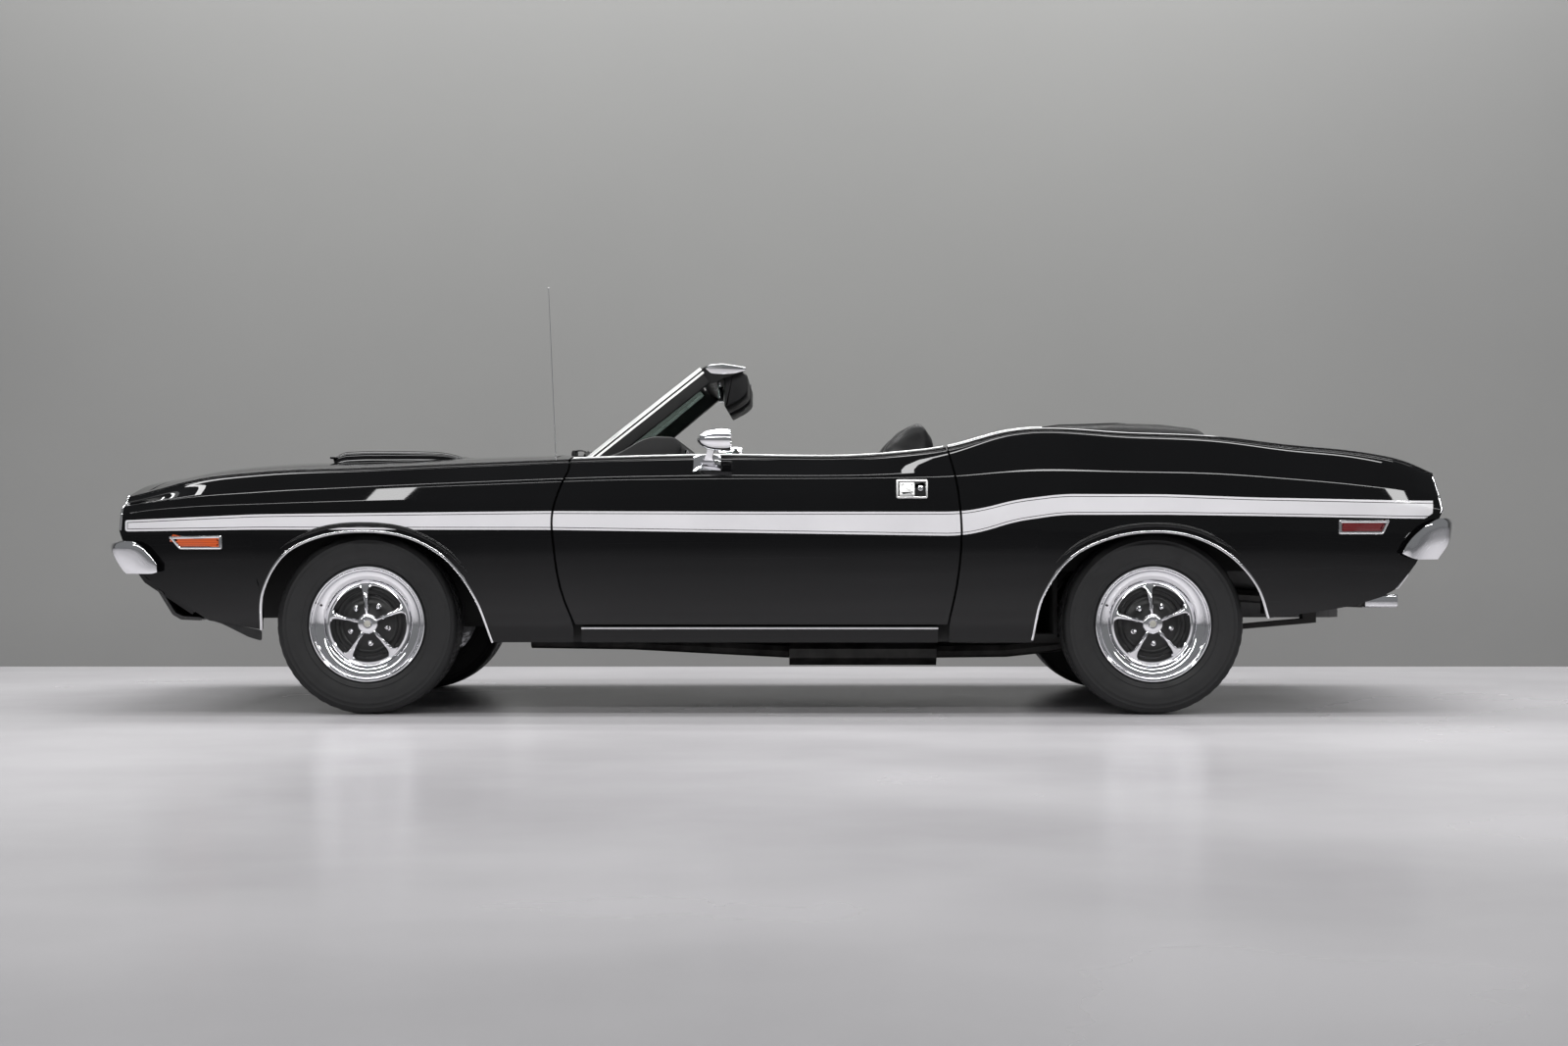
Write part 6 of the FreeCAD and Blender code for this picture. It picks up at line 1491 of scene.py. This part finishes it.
# Dashboard: a foam shell under black vinyl across the cabin, screwed to the cowl.
# A bank of round dials in plated rims faces the driver.
dash_line = ((0.8003, 0.700), (0.8003, 0.900), (0.905, 0.940), (0.960, 0.975), (1.010, 0.992), (1.090, 0.990),
             (1.118, 0.960), (1.095, 0.860), (1.060, 0.760), (0.990, 0.700))
dash_ends = [(0.772, 0.0), (0.782, 0.004), (0.785, 0.012)]
dial_places = ((-0.560, 0.905, 0.030), (-0.455, 0.905, 0.046), (-0.330, 0.905, 0.046), (-0.225, 0.905, 0.030),
               (0.620, 0.905, 0.028), (0.060, 0.900, 0.022))
dash_vinyl = mottled("dash_vinyl", (0.006, 0.006, 0.0065), (0.011, 0.011, 0.0115), 10.0, 0.46, 0.3, 0.0, 650.0,
                     Specular_IOR_Level=0.35)
dial_black = mottled("dial_face", (0.006, 0.006, 0.007), (0.010, 0.010, 0.011), 80.0, 0.35, 0.05)
dial_pale = mottled("dial_marks", (0.62, 0.63, 0.60), (0.70, 0.71, 0.68), 80.0, 0.5, 0.05)
dash_face = np.array((1.0, 0.0, -0.23)) / math.hypot(1.0, 0.23)
dash_up = np.array((0.23, 0.0, 1.0)) / math.hypot(1.0, 0.23)
fitted(sideways("dash_shell", rounded_outline(shifted(dash_line, front_axle), 0.018),
                [(-y, inset) for y, inset in dash_ends[::-1]] + [(y, 0.0) for y in np.linspace(-0.74, 0.74, 21)]
                + dash_ends, dash_vinyl), stands_for="dashboard")


def dial_stroke(at, turn, height, ends):
    """A pale stroke on a dial: ends are (distance from its middle, half width)."""
    way = dash_up * math.cos(turn) + np.array((0, 1, 0)) * math.sin(turn)
    across = np.cross(dash_face, way)
    return loft("stroke", [[at + dash_face * (height + d) + way * reach + across * w * half
                            for w, d in ((-1, -0.001), (1, -0.001), (1, 0), (-1, 0))] for reach, half in ends],
                dial_pale, smooth=False)


for number, (y, z, size) in enumerate(dial_places):
    at = np.array((front_axle + np.interp(z, (0.860, 0.960), (1.095, 1.118)), y, z))
    rim = ((size, -0.002), (size * 1.10, -0.002), (size * 1.10, 0.006), (size * 1.04, 0.009), (size, 0.006))
    face = ((0.0005, 0.0028), (size * 1.02, 0.0028), (size * 1.02, 0.0005), (0.0005, 0.0005))
    pieces = [turned_along("dial_rim", rim, chrome, at, dash_face, 32),
              turned_along("dial", face, dial_black, at, dash_face, 32)]
    pieces += [dial_stroke(at, turn, 0.0036, ((size * 0.76, 0.0009), (size * 0.92, 0.0009)))
               for turn in np.linspace(-2.3, 2.3, 13)]
    pieces.append(dial_stroke(at, -1.6, 0.0042, ((-size * 0.1, 0.0016), (size * 0.8, 0.0006))))
    fitted(joined("dial_%d" % number, pieces))

# Steering wheel and column: a grained rim moulded on a steel hoop, on three slotted steel spokes.
# The wheel is pressed on a shaft inside the column's moulded shroud.
wheel_at, tilt = np.array((front_axle + 1.377, -0.380, 0.779)), math.radians(25)
column_way = np.array((math.cos(tilt), 0.0, math.sin(tilt)))
wheel_up, wheel_side = np.array((-math.sin(tilt), 0.0, math.cos(tilt))), np.array((0.0, 1.0, 0.0))
spoke_stations = ((0.024, 0.015, -0.004), (0.060, 0.013, -0.006), (0.110, 0.0115, -0.004), (0.150, 0.012, -0.001),
                  (0.176, 0.014, 0.0))
spoke_section = ((-1, -0.0012), (-0.9, 0.0016), (0.9, 0.0016), (1, -0.0012), (0.9, -0.0022), (-0.9, -0.0022))
hole_rings = ((0.0004, 0.0004), (0.0052, 0.0003), (0.0052, -0.0010))
hub_rings = ((0.0006, 0.020), (0.020, 0.019), (0.029, 0.014), (0.0315, 0.006), (0.0315, -0.010), (0.026, -0.020),
             (0.0006, -0.020))
hub_trim = ((0.020, 0.0192), (0.0225, 0.0200), (0.0245, 0.0175), (0.022, 0.0160))
shroud_rings = ((0.0006, 0.0), (0.020, -0.001), (0.026, -0.006), (0.034, -0.030), (0.036, -0.075), (0.031, -0.120),
                (0.025, -0.150), (0.024, -0.300), (0.024, -0.400), (0.0006, -0.401))
knob_rings = ((0.0005, 0.010), (0.004, 0.009), (0.0058, 0.004), (0.0058, -0.012), (0.003, -0.016))
key_rings = ((0.0005, 0.012), (0.009, 0.011), (0.011, 0.008), (0.011, 0.0))
rim_black = mottled("wheel_rim_black", (0.010, 0.010, 0.010), (0.017, 0.017, 0.017), 20.0, 0.35, 0.3, 0.0, 700.0)


def wheel_spot(turn, radius, lift):
    """A place on the steering wheel: an angle round it, a radius and a lift along the column."""
    return wheel_at + radius * (wheel_up * math.cos(turn) + wheel_side * math.sin(turn)) + column_way * lift


rim_grip = []
for turn in turns(96):
    swell = 0.0118 + 0.0006 * math.cos(turn * 24)
    rim_grip.append([wheel_spot(turn, 0.182 + swell * math.cos(t), swell * math.sin(t)) for t in turns(14)])
wheel_pieces = [loft("grip", rim_grip, rim_black, closed=True)]
for turn in (math.radians(105), math.radians(180), math.radians(-105)):
    across = -wheel_up * math.sin(turn) + wheel_side * math.cos(turn)
    wheel_pieces.append(loft("spoke", [[wheel_spot(turn, radius, lift) + across * half * a + column_way * b
                                        for a, b in spoke_section] for radius, half, lift in spoke_stations],
                             bracket_steel))
    wheel_pieces += [turned_along("spoke_hole", hole_rings, dial_black, wheel_spot(turn, radius, -0.0025),
                                  column_way, 16) for radius in (0.075, 0.100, 0.125)]
wheel_pieces += [turned_along("hub_pad", hub_rings, rim_black, wheel_at, column_way, 40),
                 turned_along("hub_ring", hub_trim, chrome, wheel_at, column_way, 40)]
fitted(joined("steering_wheel_skin", wheel_pieces), "steering_wheel_body", "steering_wheel")
column_top = wheel_at - column_way * 0.0215
lever_line = rounded_line([column_top - column_way * 0.050 + (0, -0.030, 0),
                           column_top - column_way * 0.045 + (0, -0.090, 0.012),
                           column_top - column_way * 0.020 + (0, -0.150, 0.018)], 14)
column_pieces = [
    turned_along("column_shroud", shroud_rings, dash_vinyl, column_top, column_way, 36),
    tube("signal_lever", lever_line, 0.0035, chrome),
    turned_along("lever_knob", knob_rings, rim_black, lever_line[-1], lever_line[-1] - lever_line[-2], 16),
    turned_along("key_lock", key_rings, chrome, column_top - column_way * 0.060 + (0, 0.030, 0.0), (0, 1, 0), 24)]
bevelled_box("column_hanger", (front_axle + 1.010, -0.404, 0.600), (front_axle + 1.050, -0.356, 0.765),
             bracket_steel, 0.004)
fitted(joined("steering_column_skin", column_pieces), stands_for="steering_column")

# Console: a moulded tray over the tunnel, with a lidded bin behind a plated gear plate.
# The gear lever rises through a ribbed rubber gaiter.
console_line = ((1.200, 0.4305), (1.206, 0.500), (1.260, 0.5195), (1.480, 0.512), (1.560, 0.518), (1.778, 0.518),
                (1.780, 0.4305))
console_ends = ((-0.105, 0.010), (-0.103, 0.004), (-0.096, 0.0), (0.096, 0.0), (0.103, 0.004), (0.105, 0.010))
gear_knob_rings = ((0.0006, 0.044), (0.010, 0.042), (0.018, 0.034), (0.0205, 0.022), (0.017, 0.008), (0.010, 0.0),
                   (0.0006, -0.001))
fitted(sideways("console_tray", rounded_outline(shifted(console_line, front_axle), 0.012), console_ends, dash_vinyl),
       stands_for="console")
bevelled_box("bin_lid", (front_axle + 1.575, -0.092, 0.5175), (front_axle + 1.770, 0.092, 0.5285), seat_vinyl, 0.008)
bevelled_box("gear_plate", (front_axle + 1.300, -0.060, 0.5140), (front_axle + 1.470, 0.060, 0.5185),
             bracket_steel, 0.004)
gear_at, gear_way = np.array((front_axle + 1.385, 0.0, 0.516)), (0.10, 0, 1)
gaiter_rings = [(0.040 - 0.030 * t + 0.0035 * math.cos(t * 22), 0.052 * t) for t in np.linspace(0, 1, 24)]
fitted(joined("gear_lever", [
    turned_along("lever_gaiter", [(0.0006, 0.0)] + gaiter_rings + [(0.0006, 0.053)], rim_black, gear_at, gear_way, 32),
    tube("gear_stick", [gear_at + (0.10 * d, 0, d) for d in (0.04, 0.08, 0.12, 0.15)], 0.0055, chrome),
    turned_along("gear_knob", gear_knob_rings, rim_black, gear_at + (0.015, 0, 0.150), gear_way, 32)]))

# Cabin linings: vinyl door cards clipped to the doors, with armrests, plated cranks and pulls.
# A looped carpet covers the floor on each side of the tunnel.
carpet_black = mottled("loop_carpet", (0.008, 0.008, 0.0085), (0.017, 0.017, 0.0175), 14.0, 0.95, 1.0, 0.0, 900.0)
card_line = ((0.80, 0.40), (0.76, 0.56), (0.755, 0.86), (1.96, 0.885), (2.005, 0.80), (2.015, 0.60), (1.985, 0.40))
card_levels = ((0.8352, 0.000), (0.8310, 0.000), (0.8285, 0.003), (0.8275, 0.020))
rest_line, rest_back = ((0.795, 0.600), (0.795, 0.640), (0.827, 0.655), (0.829, 0.590)), 0.829
rest_stations = ((1.42, 0.25), (1.44, 0.75), (1.50, 1.0), (1.74, 1.0), (1.80, 0.8), (1.82, 0.25))
crank_hub_rings = ((0.0006, 0.014), (0.010, 0.013), (0.014, 0.008), (0.014, 0.0))
crank_knob_rings = ((0.0006, 0.022), (0.008, 0.021), (0.010, 0.015), (0.008, 0.0))
pull_line = ((0.95, 0.828, 0.720), (0.98, 0.812, 0.722), (1.04, 0.812, 0.722), (1.07, 0.828, 0.720))
card = rounded_outline(shifted(card_line, front_axle), 0.04)
for (side, tag), body in zip(sides, on_doors):
    fitted(sideways("door_card_" + tag, card, [(side * y, inset) for y, inset in card_levels], seat_vinyl),
           body)
    arm_rest = [[(front_axle + x, side * (rest_back - (rest_back - y) * scale), z)
                 for y, z in rounded_outline(rest_line, 0.010)] for x, scale in rest_stations]
    fitted(loft("arm_rest_" + tag, arm_rest, seat_vinyl), body)
    crank_at = np.array((front_axle + 1.30, side * 0.8275, 0.640))
    crank_path = [crank_at + (0, -side * 0.012, 0), crank_at + (0.05, -side * 0.014, 0.010),
                  crank_at + (0.09, -side * 0.016, 0.020)]
    pull = rounded_line([(front_axle + x, side * y, z) for x, y, z in pull_line], 12)
    fitted(joined("door_fittings_" + tag, [
        turned_along("crank_hub", crank_hub_rings, chrome, crank_at, (0, -side, 0), 24),
        tube("crank_arm", rounded_line(crank_path, 8), 0.0045, chrome),
        turned_along("crank_knob", crank_knob_rings, rim_black, crank_path[-1], (0, -side, 0), 20),
        tube("door_pull", pull, 0.006, chrome)]), body)
    bevelled_box("floor_carpet_" + tag, (front_axle + 0.84, side * 0.153, 0.2762),
                 (front_axle + 2.12, side * 0.700, 0.2845), carpet_black, 0.004)

# Exhaust tips: a plated rectangular steel sleeve pushed over each tail pipe and clamped there.
# Each sleeve is one sheet turned in at its mouth.
tip_levels = ((0.0, 0.800), (-0.0012, 0.802), (-0.0012, 0.914), (0.0006, 0.9175), (0.0045, 0.9172),
              (0.0052, 0.900), (0.0052, 0.870))
for side, tag in sides:
    near, far = sorted((side * 0.5445, side * 0.6555))
    opening = box_outline((near, 0.3755), (far, 0.4205), 0.008)
    rings = [[(rear_axle + x, y, z) for y, z in outline_offset(opening, inset)] for inset, x in tip_levels]
    fitted(loft("exhaust_tip_" + tag, np.swapaxes(rings, 0, 1), chrome, closed=True))

# Underside and running gear: satin underbody paint on the shell, cast and forged iron in the running gear.
# The pipes and the shaft are steel dulled by heat, and the tank is plain pressed steel.
under_paint = mottled("underbody_paint", (0.006, 0.006, 0.006), (0.014, 0.0135, 0.013), 7.0, 0.6, 0.3, 0.0, 150.0)
cast_iron = mottled("cast_iron", (0.018, 0.017, 0.0165), (0.040, 0.038, 0.036), 16.0, 0.62, 0.6, 0.3, 260.0)
engine_enamel = mottled("engine_iron", (0.012, 0.012, 0.012), (0.026, 0.025, 0.024), 5.0, 0.55, 0.4, 0.2, 200.0)
dull_steel = mottled("dull_steel", (0.045, 0.044, 0.043), (0.10, 0.098, 0.094), 12.0, 0.5, 0.3, 0.8, 220.0)
tank_steel = mottled("tank_steel", (0.10, 0.10, 0.10), (0.17, 0.17, 0.168), 9.0, 0.45, 0.15, 0.8, 320.0)
for finish, names in ((under_paint, ("body_tub", "front_structure", "rear_structure", "front_subframe")),
                      (cast_iron, ("rear_axle", "knuckle_left", "knuckle_right")),
                      (engine_enamel, ("engine_gearbox",)), (dull_steel, ("driveshaft", "exhaust")),
                      (tank_steel, ("fuel_tank",)), (satin_black, ("radiator",))):
    for name in names:
        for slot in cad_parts[name].material_slots:
            slot.material = finish
